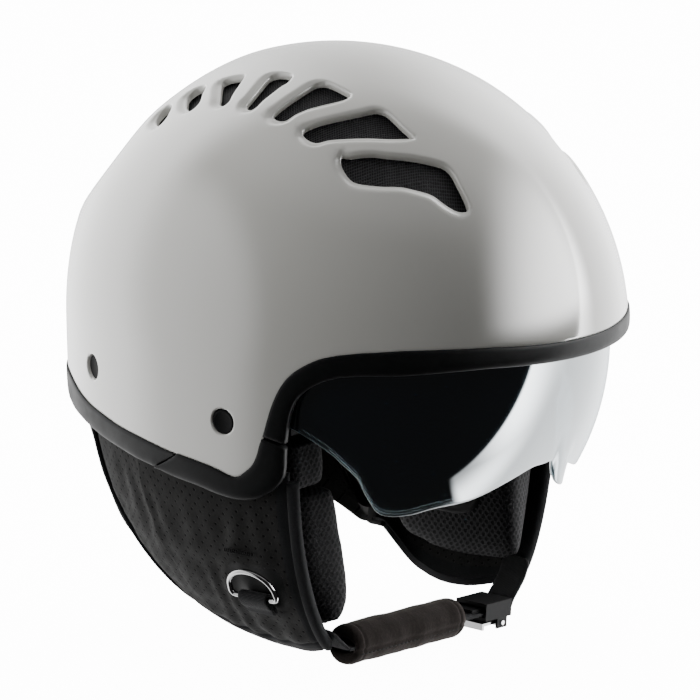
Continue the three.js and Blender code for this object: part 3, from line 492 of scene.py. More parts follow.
def make_materials():
    M = {}
    x = Mat("shell_gloss", rough=0.16, coat=1.0, ior=1.5)
    x.color(x.mix(x.remap(x.noise(7, 2), 0.35, 0.65), (0.715, 0.708, 0.668), (0.742, 0.736, 0.698)))
    x.bump(x.noise(130, 1, 0.4), 0.02, 0.15); x.b.inputs["Coat Roughness"].default_value = 0.02
    M["shell_gloss"] = x.m

    x = Mat("trim_rubber", ior=1.45).spec(0.12)
    x.color(x.mix(x.noise(300, 4), (0.006, 0.0062, 0.0065), (0.011, 0.0115, 0.012)))
    x.rough(x.remap(x.noise(90, 4), 0.3, 0.7, 0.42, 0.52)); x.bump(x.noise(1600, 3), 0.08, 0.1)
    M["trim_rubber"] = x.m

    x = Mat("foam", rough=0.85)
    x.color(x.mix(x.noise(260, 3), (0.006, 0.006, 0.0065), (0.014, 0.014, 0.015)))
    v = x.n("TexVoronoi"); x.set(v, Scale=420.0); x.link(x.pos, v.inputs["Vector"])
    x.bump(v.outputs["Distance"], 0.25, 0.5)
    M["foam"] = x.m

    x = Mat("vent_mesh", rough=0.7).spec(0.2)
    d = x.dots(1.7 * MM, 1.5 * MM, x.pos)
    k = x.remap(d, 0.32 * MM, 0.58 * MM)
    x.color(x.mix(k, (0.0010, 0.0010, 0.0011), (0.032, 0.032, 0.034))); x.bump(k, 0.6, 0.3); x.bump(x.noise(1500, 2), 0.15, 0.1)
    M["vent_mesh"] = x.m

    x = Mat("lining_fabric", rough=0.9).spec(0.12).sheen(0.04, 0.5)
    w = x.noise(900, 2, 0.6)
    x.color(x.mix(w, (0.005, 0.005, 0.0053), (0.014, 0.014, 0.0145))); x.bump(w, 0.35, 0.3); x.bump(x.noise(60, 3), 0.25, 1.5)
    M["lining_fabric"] = x.m

    x = Mat("spacer_mesh", rough=0.8).spec(0.14).sheen(0.03, 0.5)
    d = x.dots(3.9, 4.6)
    k = x.remap(d, 0.92, 1.18)
    f = x.noise(900, 2)
    x.color(x.mix(k, (0.0006, 0.0006, 0.0007), x.mix(f, (0.024, 0.024, 0.025), (0.042, 0.042, 0.044))))
    x.bump(k, 0.7, 0.5); x.bump(f, 0.12, 0.12)
    M["spacer_mesh"] = x.m

    x = Mat("perforated_cloth", rough=0.9).spec(0.16).sheen(0.07, 0.5)
    d = x.dots(5.6, 7.2)
    k = x.remap(d, 0.55, 0.85)
    f = x.noise(1100, 3, 0.65); g = x.noise(55, 3)
    base = x.mix(f, (0.013, 0.0128, 0.0125), (0.031, 0.0305, 0.0295))
    base = x.mix(x.remap(g, 0.35, 0.7, 0.0, 0.35), base, (0.010, 0.010, 0.010))
    x.color(x.mix(k, (0.0008, 0.0008, 0.0008), base)); x.bump(k, 0.8, 0.4); x.bump(f, 0.35, 0.3); x.bump(x.noise(110, 3), 0.3, 1.2)
    M["perforated_cloth"] = x.m

    x = Mat("binding", rough=0.85).spec(0.16).sheen(0.05, 0.45)
    f = x.noise(1500, 2, 0.6)
    x.color(x.mix(f, (0.009, 0.0092, 0.010), (0.024, 0.025, 0.027))); x.bump(f, 0.4, 0.25); x.bump(x.noise(160, 2), 0.2, 0.6)
    M["binding"] = x.m

    x = Mat("patch", rough=0.68).spec(0.2).sheen(0.02, 0.4)
    f = x.noise(1300, 2, 0.6)
    x.color(x.mix(f, (0.002, 0.002, 0.0022), (0.006, 0.006, 0.0063))); x.bump(f, 0.25, 0.2)
    M["patch"] = x.m

    x = Mat("suede", rough=0.95).spec(0.1).sheen(0.14, 0.5, (0.9, 0.8, 0.75))
    f = x.noise(700, 4, 0.7)
    x.color(x.mix(f, (0.011, 0.0088, 0.0082), (0.030, 0.0245, 0.0225))); x.bump(f, 0.5, 0.4); x.bump(x.noise(95, 3), 0.35, 1.6)
    M["suede"] = x.m

    x = Mat("webbing", rough=0.78).spec(0.18).sheen(0.04, 0.4)
    mp = x.n("Mapping"); mp.inputs["Scale"].default_value = (1, 1, 1); x.link(x.uv, mp.inputs[0])
    w1 = x.n("TexWave", bands_direction="X"); x.set(w1, Scale=0.55, Distortion=0.0); x.link(mp.outputs[0], w1.inputs[0])
    w2 = x.n("TexWave", bands_direction="Y"); x.set(w2, Scale=0.42, Distortion=0.0); x.link(mp.outputs[0], w2.inputs[0])
    w = x.math("MULTIPLY", w1.outputs["Fac"], w2.outputs["Fac"])
    x.color(x.mix(w, (0.008, 0.008, 0.0085), (0.045, 0.046, 0.05))); x.bump(w, 0.6, 0.35); x.bump(x.noise(1500, 2), 0.2, 0.1)
    M["webbing"] = x.m

    x = Mat("lens_smoke", rough=0.03, ior=1.58)
    x.color(x.mix(x.remap(x.noise(5, 2), 0.3, 0.7), (0.004, 0.006, 0.010), (0.006, 0.009, 0.014)))
    lw = x.n("LayerWeight"); x.set(lw, Blend=0.22)
    x.b.inputs["Coat Weight"].default_value = 1.0; x.b.inputs["Coat IOR"].default_value = 1.7
    x.b.inputs["Coat Roughness"].default_value = 0.01
    gl = x.n("BsdfGlossy"); gl.inputs["Roughness"].default_value = 0.015
    x.link(x.mix(x.noise(9, 2), (0.50, 0.64, 0.72), (0.56, 0.69, 0.76)), gl.inputs["Color"])
    ms = x.n("MixShader"); x.link(x.remap(lw.outputs["Fresnel"], 0.0, 1.0, 0.10, 0.75), ms.inputs[0])
    x.link(x.b.outputs[0], ms.inputs[1]); x.link(gl.outputs[0], ms.inputs[2])
    tr = x.n("BsdfTransparent"); tr.inputs["Color"].default_value = (0.55, 0.62, 0.66, 1)
    m2 = x.n("MixShader"); x.link(x.remap(x.noise(6, 1), 0.0, 1.0, 0.12, 0.16), m2.inputs[0])
    x.link(ms.outputs[0], m2.inputs[1]); x.link(tr.outputs[0], m2.inputs[2]); x.link(m2.outputs[0], x.out.inputs[0])
    M["lens_smoke"] = x.m

    # lens edge: a pale blue-grey colour on the edge faces of the near-black smoked lens, a painted highlight for light
    # caught along the polished edge
    x = Mat("lens_edge_painted_highlight", rough=0.12, ior=1.58)
    x.color(x.mix(x.noise(60, 2), (0.42, 0.60, 0.64), (0.62, 0.78, 0.80)))
    x.b.inputs["Transmission Weight"].default_value = 0.35; x.b.inputs["Coat Weight"].default_value = 1.0
    M["lens_edge_painted_highlight"] = x.m

    x = Mat("black_plastic", rough=0.6).spec(0.08)
    x.color(x.mix(x.noise(500, 3), (0.004, 0.004, 0.0043), (0.008, 0.008, 0.0084))); x.bump(x.noise(1800, 2), 0.15, 0.1)
    M["black_plastic"] = x.m

    x = Mat("chrome", rough=0.09, metal=1.0)
    x.color(x.mix(x.noise(120, 3), (0.28, 0.28, 0.28), (0.38, 0.38, 0.385))); x.rough(x.remap(x.noise(300, 3), 0.2, 0.8, 0.05, 0.16))
    x.bump(x.noise(260, 2), 0.05, 0.1)
    M["chrome"] = x.m

    x = Mat("steel", rough=0.3, metal=1.0)
    x.color(x.mix(x.noise(200, 3), (0.45, 0.45, 0.46), (0.60, 0.60, 0.61))); x.rough(x.remap(x.noise(400, 3), 0.2, 0.8, 0.24, 0.38))
    x.bump(x.noise(500, 2), 0.1, 0.1)
    M["steel"] = x.m

    x = Mat("thread", rough=0.6).sheen(0.2, 0.4)
    f = x.noise(2500, 2)
    x.color(x.mix(f, (0.020, 0.018, 0.017), (0.055, 0.050, 0.047))); x.bump(f, 0.4, 0.2)
    M["thread"] = x.m
    return M


M = make_materials()
SLOT = {m.name: m.name for m in M.values()}


def surf_n(p):
    """Outward normals of the shell at points p (..., 3), mm."""
    h = 0.4
    g = []
    for k in range(3):
        e = np.zeros(3); e[k] = h
        F = lambda q: np.linalg.norm(q, axis=-1) - shell_r(q / np.linalg.norm(q, axis=-1, keepdims=True))
        g.append(F(p + e) - F(p - e))
    g = np.stack(g, -1)
    return g / np.linalg.norm(g, axis=-1, keepdims=True)


# ----------------------------------------------------- edge stations of the trim
def phi_point(ph, z):
    r = shell_rho(ph, z)
    return np.stack([r * np.sin(ph), -r * np.cos(ph), np.asarray(z, float) + 0 * r], -1)


TRIM_LOW = [(-220, 2.5), (-149, 2.5), (-132, 3), (-119, 2), (-104, 0.5), (-87, 0), (-80, -1), (-71, -3.5), (106, -44.2), (115, -42), (134, -37), (220, -26)]


def edge_z(tab, ph):
    z = np.full_like(ph, -5.0)
    for _ in range(12):
        z = table(tab, -shell_rho(ph, z) * np.cos(ph))
    return z


def trim_stations():
    """Rows of a trim strip on the +X side from the brow to the nape: kind and data."""
    rows = []
    P = smooth_path([(a[0], a[1], b[0], b[1]) for a, b in PAIRS], 150)
    y0, y1 = P[0], P[-1]
    ph0 = math.atan2(float(shell_x(y0[0], y0[1])), -y0[0]); ph1 = math.atan2(float(shell_x(y1[0], y1[1])), -y1[0])
    for ph in np.linspace(0, ph0, 44)[:-1]:
        a = np.array([ph]); rows.append(("phi", ph, float(edge_z(EDGE, a)[0]), float(edge_z(TRIM_LOW, a)[0])))
    for r in P:
        rows.append(("pair", r))
    for ph in np.linspace(ph1, math.pi, 34)[1:]:
        a = np.array([ph]); rows.append(("phi", ph, float(edge_z(EDGE, a)[0]), float(edge_z(TRIM_LOW, a)[0])))
    return rows


ROWS = trim_stations()


def row_pts(r, v):
    """Points on the shell's outer face across a row, v 0 at the shell's edge and 1 at the trim's lower edge."""
    v = np.asarray(v, float)
    if r[0] == "phi":
        return phi_point(np.full_like(v, r[1]), r[2] + (r[3] - r[2]) * v)
    q = r[1]
    y = q[0] + (q[2] - q[0]) * v; z = q[1] + (q[3] - q[1]) * v
    return np.stack([shell_x(y, z), y, z], -1)


PROF = [(-0.06, 0.02), (-0.05, 0.55), (0.0, 0.8), (0.15, 0.8), (0.35, 0.76), (0.55, 0.68), (0.75, 0.5), (0.88, 0.2), (0.96, -0.25), (1.0, -0.9), (1.0, -1.6), (1.0, -3.2), (0.985, -4.2), (0.93, -4.8), (0.85, -5.0), (0.5, -5.0), (0.04, -5.0), (0.02, -4.2), (0.02, 0.0)]


def trim_sections(rows, v0=None, v1=None, proud=0.0):
    out = []
    for i, r in enumerate(rows):
        a = 0.0 if v0 is None else v0[i]; b = 1.0 if v1 is None else v1[i]
        vs = np.array([a + (b - a) * p[0] for p in PROF]); of = np.array([p[1] + (proud if p[1] > 0.3 else 0) for p in PROF])
        p = row_pts(r, vs); n = surf_n(p)
        out.append(p + n * of[:, None])
    return np.array(out)


def row_y(r):
    return (-float(shell_rho(np.array([r[1]]), r[2])[0]) * math.cos(r[1])) if r[0] == "phi" else r[1][0]


SPLIT_F = next(i for i, r in enumerate(ROWS) if r[0] == "pair" and r[1][1] < -32.2)
SPLIT_R0 = next(i for i, r in enumerate(ROWS) if r[0] == "pair" and r[1][0] > 6.9)
SPLIT_R1 = next(i for i, r in enumerate(ROWS) if r[0] == "pair" and r[1][2] > 22.6)


def mirrored(a):
    b = a[::-1].copy(); b[..., 0] *= -1
    return b


def build_trim():
    f = trim_sections(ROWS[:SPLIT_F])
    sec = np.concatenate([mirrored(f)[:-1], f])
    sweep("front_trim", sec[:, 5], sec, mat=M["trim_rubber"])
    # plate: full width to the split, then tapering to the diagonal end
    rows = ROWS[SPLIT_F:SPLIT_R1]
    v0 = [0.0 if i + SPLIT_F < SPLIT_R0 else 0.97 * (i + SPLIT_F - SPLIT_R0 + 1) / (SPLIT_R1 - SPLIT_R0) for i in range(len(rows))]
    p = trim_sections(rows, v0=v0, proud=0.12)
    # open a fine joint at the front split
    p[0] = p[0] + 0.22 * (p[1] - p[0]) / np.maximum(np.linalg.norm(p[1] - p[0], axis=-1, keepdims=True), 1e-6)
    rrows = ROWS[SPLIT_R0:]
    m = SPLIT_R1 - SPLIT_R0
    v1 = [min(1.0, 0.97 * (i + 1) / m - 0.05) if i < m else 1.0 for i in range(len(rrows))]
    v1 = [max(0.02, x) for x in v1]
    r = trim_sections(rrows, v1=v1)
    sec = np.concatenate([r, mirrored(r)[1:]])
    sweep("rear_trim", sec[:, 5], sec, mat=M["trim_rubber"])
    for side, s in (("right", -1), ("left", 1)):
        q = p.copy(); q[..., 0] *= s
        sweep(side + "_ear_plate", q[:, 5], q, mat=M["trim_rubber"])
    for o, node in (("front_trim", "front_edge_trim"), ("rear_trim", "rear_edge_trim"), ("right_ear_plate", "right_corner_plate"), ("left_ear_plate", "left_corner_plate")):
        ob = bpy.data.objects[o]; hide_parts(node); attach(ob, "helmet")


build_trim()


# -------------------------------------------------------------------- shell
CH = 125.0


def chart_of(p):
    p = np.asarray(p, float); r = np.linalg.norm(p, axis=-1)
    th = np.arccos(np.clip(p[..., 2] / r, -1, 1)); ph = np.arctan2(p[..., 0], -p[..., 1])
    return CH * np.stack([th * np.sin(ph), th * np.cos(ph)], -1)


def dir_of_chart(q):
    q = np.asarray(q, float) / CH
    th = np.linalg.norm(q, axis=-1); ph = np.arctan2(q[..., 0], q[..., 1])
    return dir_of(th, ph)


def poly_dist(pts, poly):
    """Signed distance to a closed polygon, + outside, with the offset from its nearest point."""
    A = poly; B = np.roll(poly, -1, 0); d = B - A
    t = np.clip(((pts[:, None] - A) * d).sum(-1) / np.maximum((d * d).sum(-1), 1e-9), 0, 1)
    w = pts[:, None] - (A + t[..., None] * d)
    L = np.linalg.norm(w, axis=-1); k = L.argmin(1)
    x, y = pts[:, 0][:, None], pts[:, 1][:, None]
    c = ((A[:, 1] > y) != (B[:, 1] > y)) & (x < (B[:, 0] - A[:, 0]) * (y - A[:, 1]) / np.where(np.abs(B[:, 1] - A[:, 1]) < 1e-9, 1e-9, B[:, 1] - A[:, 1]) + A[:, 0])
    s = np.where(c.sum(1) % 2 == 1, -1.0, 1.0)
    i = np.arange(len(pts))
    return L[i, k] * s, w[i, k]


def vent_chart(v, s):
    xy = np.array(v, float) * [s, 1]
    z = []
    for x, y in xy:
        lo, hi = 40.0, 140.0
        for _ in range(40):
            m = (lo + hi) / 2; q = np.array([x, y, m]); L = np.linalg.norm(q)
            if L < shell_r(q / L):
                lo = m
            else:
                hi = m
        z.append(lo)
    q = chart_of(np.column_stack([xy, z]))
    q = smooth_path(q, 64, closed=True)
    a = 0.5 * (q[:, 0] * np.roll(q[:, 1], -1) - np.roll(q[:, 0], -1) * q[:, 1]).sum()
    return q if a > 0 else q[::-1]


def offset_poly(q, d):
    t = np.roll(q, -1, 0) - np.roll(q, 1, 0); n = np.stack([t[:, 1], -t[:, 0]], -1); n /= np.linalg.norm(n, axis=1, keepdims=True)
    if np.isscalar(d):
        d = np.full(len(q), d)
    o = q + n * d[:, None]
    return o


def build_shell():
    rim = np.concatenate([np.array([row_pts(r, np.array([-0.0]))[0] for r in ROWS])])
    rim = np.concatenate([rim, mirrored(rim)[1:-1]])
    rimc = chart_of(rim)
    rimc = smooth_path(rimc, 560, closed=True)
    vents = []
    for v in VENTS:
        for s in (-1, 1):
            vents.append(vent_chart(v, s))
    lens_n = []
    # recess width round each opening: wide on the side towards the crown line, narrow below
    rings, holes = [], []
    D = [0.0, 0.25, 0.5, 0.75, 1.1, 1.6, 2.2, 2.9, 3.7, 4.6, 5.6]
    pts, edges = [], []

    def add_loop(q):
        b = len(pts); pts.extend(map(tuple, q)); n = len(q)
        edges.extend((b + i, b + (i + 1) % n) for i in range(n))
        return b
    add_loop(rimc)
    for v in vents:
        add_loop(v)
        for d in D[1:]:
            pts.extend(map(tuple, offset_poly(v, d)))
    caps = []
    for s in (-1, 1):
        for c in CAPS.values():
            p = np.array([s * c[0][0], c[0][1], c[0][2]]); q = chart_of(p)
            # ring of radius in mm on the surface, mapped into the chart
            n = np.array([s * c[1][0], c[1][1], c[1][2]]); n /= np.linalg.norm(n)
            a = np.cross(n, [0, 0, 1.0]); a /= np.linalg.norm(a); b2 = np.cross(n, a)
            t = np.linspace(0, 2 * math.pi, 40, endpoint=False)
            for r in (6.35, 6.6, 6.9, 7.4, 8.4):
                ring = chart_of(p + r * (np.cos(t)[:, None] * a + np.sin(t)[:, None] * b2))
                if r == 6.35:
                    add_loop(ring)
                else:
                    pts.extend(map(tuple, ring))
            caps.append((p, n, chart_of(p + 6.35 * (np.cos(t)[:, None] * a + np.sin(t)[:, None] * b2))))
    # rim rings
    for d in (-0.6, -1.3, -2.4):
        pts.extend(map(tuple, offset_poly(rimc, d if 0.5 * (rimc[:, 0] * np.roll(rimc[:, 1], -1) - np.roll(rimc[:, 0], -1) * rimc[:, 1]).sum() > 0 else -d)))
    # interior points
    g = 3.4
    xs = np.arange(-300, 300, g); ys = np.arange(-300, 300, g * 0.866)
    I = np.array([(x + (g / 2 if k % 2 else 0), y) for k, y in enumerate(ys) for x in xs])
    ds, _ = poly_dist(I, rimc); I = I[ds < -3.4]
    keep = np.ones(len(I), bool)
    for v in vents:
        ds, _ = poly_dist(I, v); keep &= ds > 6.2
    for p, n, ring in caps:
        keep &= np.linalg.norm(I - ring.mean(0), axis=1) > 10.5
    I = I[keep]
    fine = []
    near = np.zeros(len(I))
    pts.extend(map(tuple, I))
    P = np.array(pts)
    out = mgeo.delaunay_2d_cdt([Vector(p) for p in P], edges, [], 0, 1e-5)
    V = np.array([tuple(v) for v in out[0]]); F = np.array([f for f in out[2] if len(f) == 3])
    C = V[F].mean(1)
    ds, _ = poly_dist(C, rimc); ok = ds < 0
    for v in vents:
        ds, _ = poly_dist(C, v); ok &= ds > 0
    for p, n, ring in caps:
        ds, _ = poly_dist(C, ring); ok &= ds > 0
    F = F[ok]
    used = np.unique(F); remap = -np.ones(len(V), int); remap[used] = np.arange(len(used)); V = V[used]; F = remap[F]
    # height: recess depth round the openings
    dirs = dir_of_chart(V); R = shell_r(dirs)
    dep = np.zeros(len(V))
    for k, v in enumerate(vents):
        c = v.mean(0)
        ds, w = poly_dist(V, v)
        near = ds < 9
        tg = np.roll(v, -1, 0) - np.roll(v, 1, 0); vn = np.stack([tg[:, 1], -tg[:, 0]], -1); vn /= np.linalg.norm(vn, axis=1, keepdims=True)
        nx = np.zeros((len(V), 2)); idx = np.where(near)[0]
        dv = np.linalg.norm(V[idx][:, None] - v[None], axis=2)
        g = np.exp(-((dv - dv.min(1, keepdims=True)) / 1.1)); a = g @ vn
        nx[idx] = a / np.maximum(np.linalg.norm(a, axis=1, keepdims=True), 1e-6)
        # outward of the recess: away from the crown's middle line and backwards are the wide sides
        side = np.sign(c[0])
        up = nx[:, 0] * side * 0.75 + nx[:, 1] * (-0.35)
        hill = np.clip(0.5 + 0.62 * up, 0, 1)
        wid = 0.9 + 4.5 * hill ** 1.3
        t = np.clip(ds / wid, 0, 1)
        h = (0.25 + 2.0 * hill ** 1.2) * (1 - t * t * (3 - 2 * t))
        edge = (0.25 + 0.25 * hill) * np.clip(1 - ds / 0.6, 0, 1) ** 2
        dep = np.where(near, np.maximum(dep, np.where(t < 1, h + edge, 0)), dep)
    for p, n, ring in caps:
        d3 = np.linalg.norm(V - ring.mean(0), axis=1)
        ds, _ = poly_dist(V, ring)
        dep = np.where(ds < 1.0, np.maximum(dep, 0.45 * np.clip(1 - ds / 0.8, 0, 1) ** 2), dep)
    ds, _ = poly_dist(V, rimc)
    dep = np.maximum(dep, np.where(ds > -0.9, 0.35 * np.clip(1 + ds / 0.9, 0, 1) ** 2, 0))
    top = dirs * (R - dep)[:, None]
    low = dirs * (R - SHELL["wall"])[:, None]
    for p, n, ring in caps:
        pass
    N = len(V)
    faces = [tuple(f) for f in F] + [tuple(f[::-1] + N) for f in F]
    # walls along every boundary edge
    cnt = {}
    for f in F:
        for a, b in ((f[0], f[1]), (f[1], f[2]), (f[2], f[0])):
            cnt[(a, b)] = 1
    for (a, b) in list(cnt):
        if (b, a) not in cnt:
            faces.append((b, a, a + N, b + N))
    o = new_object("shell", np.concatenate([top, low]), faces, None, True, M["shell_gloss"])
    o.data.materials.append(M["black_plastic"])
    mi = np.zeros(len(o.data.polygons), np.int32); mi[len(F):2 * len(F)] = 1
    if len(o.data.polygons) == len(faces):
        o.data.polygons.foreach_set("material_index", mi)
    face_out(o)
    m = o.modifiers.new("normals", "WEIGHTED_NORMAL"); m.keep_sharp = True
    for e in ():
        pass
    # sharp where wall meets the faces is softened by the lip; mark wall/inner edges sharp
    bm = bmesh.new(); bm.from_mesh(o.data)
    for e in bm.edges:
        if len(e.link_faces) == 2 and e.calc_face_angle(0) > math.radians(52):
            e.smooth = False
    bm.to_mesh(o.data); bm.free()
    o.modifiers.remove(m)
    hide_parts("outer_shell"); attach(o, "helmet")
    for i, (p, n, ring) in enumerate(caps):
        pass
    return o


build_shell()


def build_caps():
    for side, s in (("right", -1), ("left", 1)):
        for k, c in CAPS.items():
            p = [s * c[0][0], c[0][1], c[0][2]]; n = [s * c[1][0], c[1][1], c[1][2]]
            prof = [(0, -2.4), (5.6, -2.4), (5.95, -2.1), (5.95, -1.6), (5.8, -1.35), (5.4, -1.25), (4.9, -1.22), (4.7, -1.3), (4.5, -1.38), (0, -1.38)]
            o = lathe(side + "_" + k + "_plug", prof, p, n, 56, M["black_plastic"])
            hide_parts(side + "_" + k + "_cap"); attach(o, "helmet")


build_caps()


# --------------------------------------------------------------- soft pieces
def place(o, node, body="helmet"):
    for n in ([node] if isinstance(node, str) else node):
        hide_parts(n)
    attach(o, body)
    return o


def grid_uv(P):
    """Arc lengths along both ways of a grid (nu, nv, 3), averaged, in mm."""
    du = np.linalg.norm(np.diff(P, axis=0), axis=2).mean(1); dv = np.linalg.norm(np.diff(P, axis=1), axis=2).mean(0)
    U = np.concatenate([[0], np.cumsum(du)]); V = np.concatenate([[0], np.cumsum(dv)])
    return np.stack(np.broadcast_arrays(U[:, None], V[None, :]), -1)


def real_uv(P, mid):
    """u from the row's own arc length measured out from column index mid, v down the columns, mm."""
    d = np.linalg.norm(np.diff(P, axis=0), axis=2)
    U = np.concatenate([np.zeros((1, P.shape[1])), np.cumsum(d, 0)]); U = U - U[mid:mid + 1]
    e = np.linalg.norm(np.diff(P, axis=1), axis=2)
    V = np.concatenate([np.zeros((P.shape[0], 1)), np.cumsum(e, 1)], 1)
    return np.stack([U, V], -1)


def bumpy(x, y, seed, n=6, lo=0.02, hi=0.08):
    """Soft pseudo-random field in [-1, 1] from summed waves."""
    r = np.random.default_rng(seed); out = 0
    for _ in range(n):
        a = r.uniform(0, 2 * math.pi); f = r.uniform(lo, hi); p = r.uniform(0, 6.28)
        out = out + np.sin((x * math.cos(a) + y * math.sin(a)) * f * 2 * math.pi + p)
    return out / n * 1.6


def ring_frame():
    p = curtain(np.array(0.19), np.array(0.43)); n = curtain_n(np.array(0.19), np.array(0.43))
    O = np.array([-p[0], p[1], p[2]]); N = np.array([-n[0], n[1], n[2]])
    Y = np.array([0, 1.0, 0]) - N * N[1]; Y /= np.linalg.norm(Y); Z = np.cross(N, Y)
    return O, Y, Z * (1 if Z[2] > 0 else -1)


def far_lift(y, A):
    """The left side's hem hangs a little higher behind the ear than the right one's."""
    t = np.clip((50 - y) / 14, 0, 1)
    return 9.0 * np.clip((y - 8) / 26, 0, 1) ** 1.5 * t * t * (3 - 2 * t) * np.clip(A, 0, 1) ** 3


def build_curtains():
    nu, nv = 150, 120
    for side, s in (("right", -1), ("left", 1)):
        u = np.linspace(0.0, 0.992, nu); a = np.linspace(0, 1, nv) ** 0.92
        U, A = np.meshgrid(u, a, indexing="ij")
        P = curtain(U, A); Nn = curtain_n(U, A)
        uv = real_uv(P, 0)
        # soft vertical wrinkles that fade at the seams, a puffed hem band and a stitched line above it
        x, y = uv[..., 0], uv[..., 1]
        fade = np.clip(U / 0.10, 0, 1) * np.clip((0.985 - U) / 0.07, 0, 1) * np.clip((A - 0.10) / 0.12, 0, 1) * np.clip((0.86 - A) / 0.10, 0, 1)
        wr = 0.55 * np.sin(2 * math.pi * (x / 19.0 + 0.45 * np.sin(y / 31.0) + 0.55 * bumpy(x, y, 3, lo=0.008, hi=0.03))) * (0.5 + 0.5 * bumpy(x, y, 5, lo=0.01, hi=0.03))
        h = fade * (wr + 0.6 * bumpy(x, y, 9))
        # seam to the neck roll: the cloth dips
        h = h - 1.3 * np.exp(-((U - 0.992) / 0.018) ** 2)
        # binding side dips under the piping
        h = h - 0.8 * np.exp(-((U - 0.0) / 0.02) ** 2)
        # hem band: a line of stitching at a = 0.80 with a roll below
        line = 0.80 - 0.05 * U
        h = h - 0.7 * np.exp(-((A - line) / 0.010) ** 2) + 0.35 * np.clip((A - line) / 0.05, 0, 1) * (A > line)
        outp = P + Nn * (h - 0.25)[..., None]
        if s < 0:
            pass
        inn = P - Nn * (4.3 + 0 * h)[..., None]
        # round the hem: pull the last rows in
        t = np.clip((A - 0.955) / 0.045, 0, 1)[..., None]
        mid = (outp + inn) / 2
        outp = outp + (mid - outp) * (1 - np.sqrt(np.clip(1 - t ** 2 * 0.72, 0, 1))); inn = inn + (mid - inn) * (1 - np.sqrt(np.clip(1 - t ** 2 * 0.72, 0, 1)))
        if s > 0:
            lift = far_lift(outp[..., 1], A); outp[..., 2] += lift; inn[..., 2] += lift
        outp[..., 0] *= s; inn[..., 0] *= s
        o = slab_mesh(side + "_ear_flap", outp, inn, uv, M["perforated_cloth"])
        o.data.materials.append(M["binding"]); o.data.materials.append(M["patch"])
        # hem band and ring patch are plain cloth
        rp, ry, rz = ring_frame()
        dd = P - rp * [-1, 1, 1]
        RINGUV = (dd @ (ry * [-1, 1, 1]) / 16.5, (dd @ (rz * [-1, 1, 1]) - 1.0) / 12.5)
        mi = np.zeros(len(o.data.polygons), np.int32)
        for p in o.data.polygons:
            k = p.vertices[0] % (nu * nv)
            if A.flat[k] > line.flat[k] or U.flat[k] < 0.035:
                mi[p.index] = 1
            if s < 0 and abs(RINGUV[0].flat[k]) ** 4 + abs(RINGUV[1].flat[k]) ** 4 < 1:
                mi[p.index] = 2
        o.data.polygons.foreach_set("material_index", mi)
        place(o, side + "_ear_curtain")

        # binding round the front edge, running down to the hem
        aa = np.linspace(0.03, 1.0, 60)
        p0 = curtain(np.zeros_like(aa), aa) - curtain_n(np.zeros_like(aa), aa) * 2.3
        p1 = curtain(np.full_like(aa, 0.05), aa) - curtain_n(np.full_like(aa, 0.05), aa) * 2.3
        d = p0 - p1; d /= np.linalg.norm(d, axis=1, keepdims=True)
        c = p0 + d * 2.4
        c[:, 0] *= s
        nrm = curtain_n(np.zeros_like(aa), aa) * [s, 1, 1]
        # section: a folded tape, wider across than thick
        th = np.linspace(0, 2 * math.pi, 20, endpoint=False)
        dd = d * [s, 1, 1]
        sec = c[:, None] + (np.sign(np.cos(th)) * np.abs(np.cos(th)) ** 0.75)[None, :, None] * dd[:, None] * 3.0 + (np.sign(np.sin(th)) * np.abs(np.sin(th)) ** 0.75)[None, :, None] * nrm[:, None] * 2.7
        o = sweep(side + "_binding", c, sec, mat=M["binding"], uv_scale=1.0)
        place(o, side + "_curtain_piping")


def roll_grid(nu, nv):
    v = np.linspace(-1, 1, nu); a = np.linspace(0, 1, nv)
    V, A = np.meshgrid(v, a, indexing="ij")
    u = 2 - np.abs(V) * 0.992
    P = curtain(u, A)
    # one orientation over the whole roll, so the flared hem keeps its outer side
    e = 0.006; Ac = np.minimum(A, 0.975); um, up = np.maximum(1, u - e), np.minimum(2, u + e)
    Nn = np.cross(curtain(up, Ac) - curtain(um, Ac), curtain(u, Ac + e) - curtain(u, np.maximum(Ac - e, 0)))
    Nn /= np.maximum(np.linalg.norm(Nn, axis=-1, keepdims=True), 1e-9)
    k = nv // 3
    Nn *= np.sign((Nn[:, k] * curtain_n(u, A)[:, k]).sum())
    P[..., 0] *= np.where(V < 0, -1, 1); Nn[..., 0] *= np.where(V < 0, -1, 1)
    mid = np.abs(V) < 1e-6
    Nn[mid, 0] = 0; Nn /= np.linalg.norm(Nn, axis=-1, keepdims=True); P[mid, 0] = 0
    return V, A, P, Nn


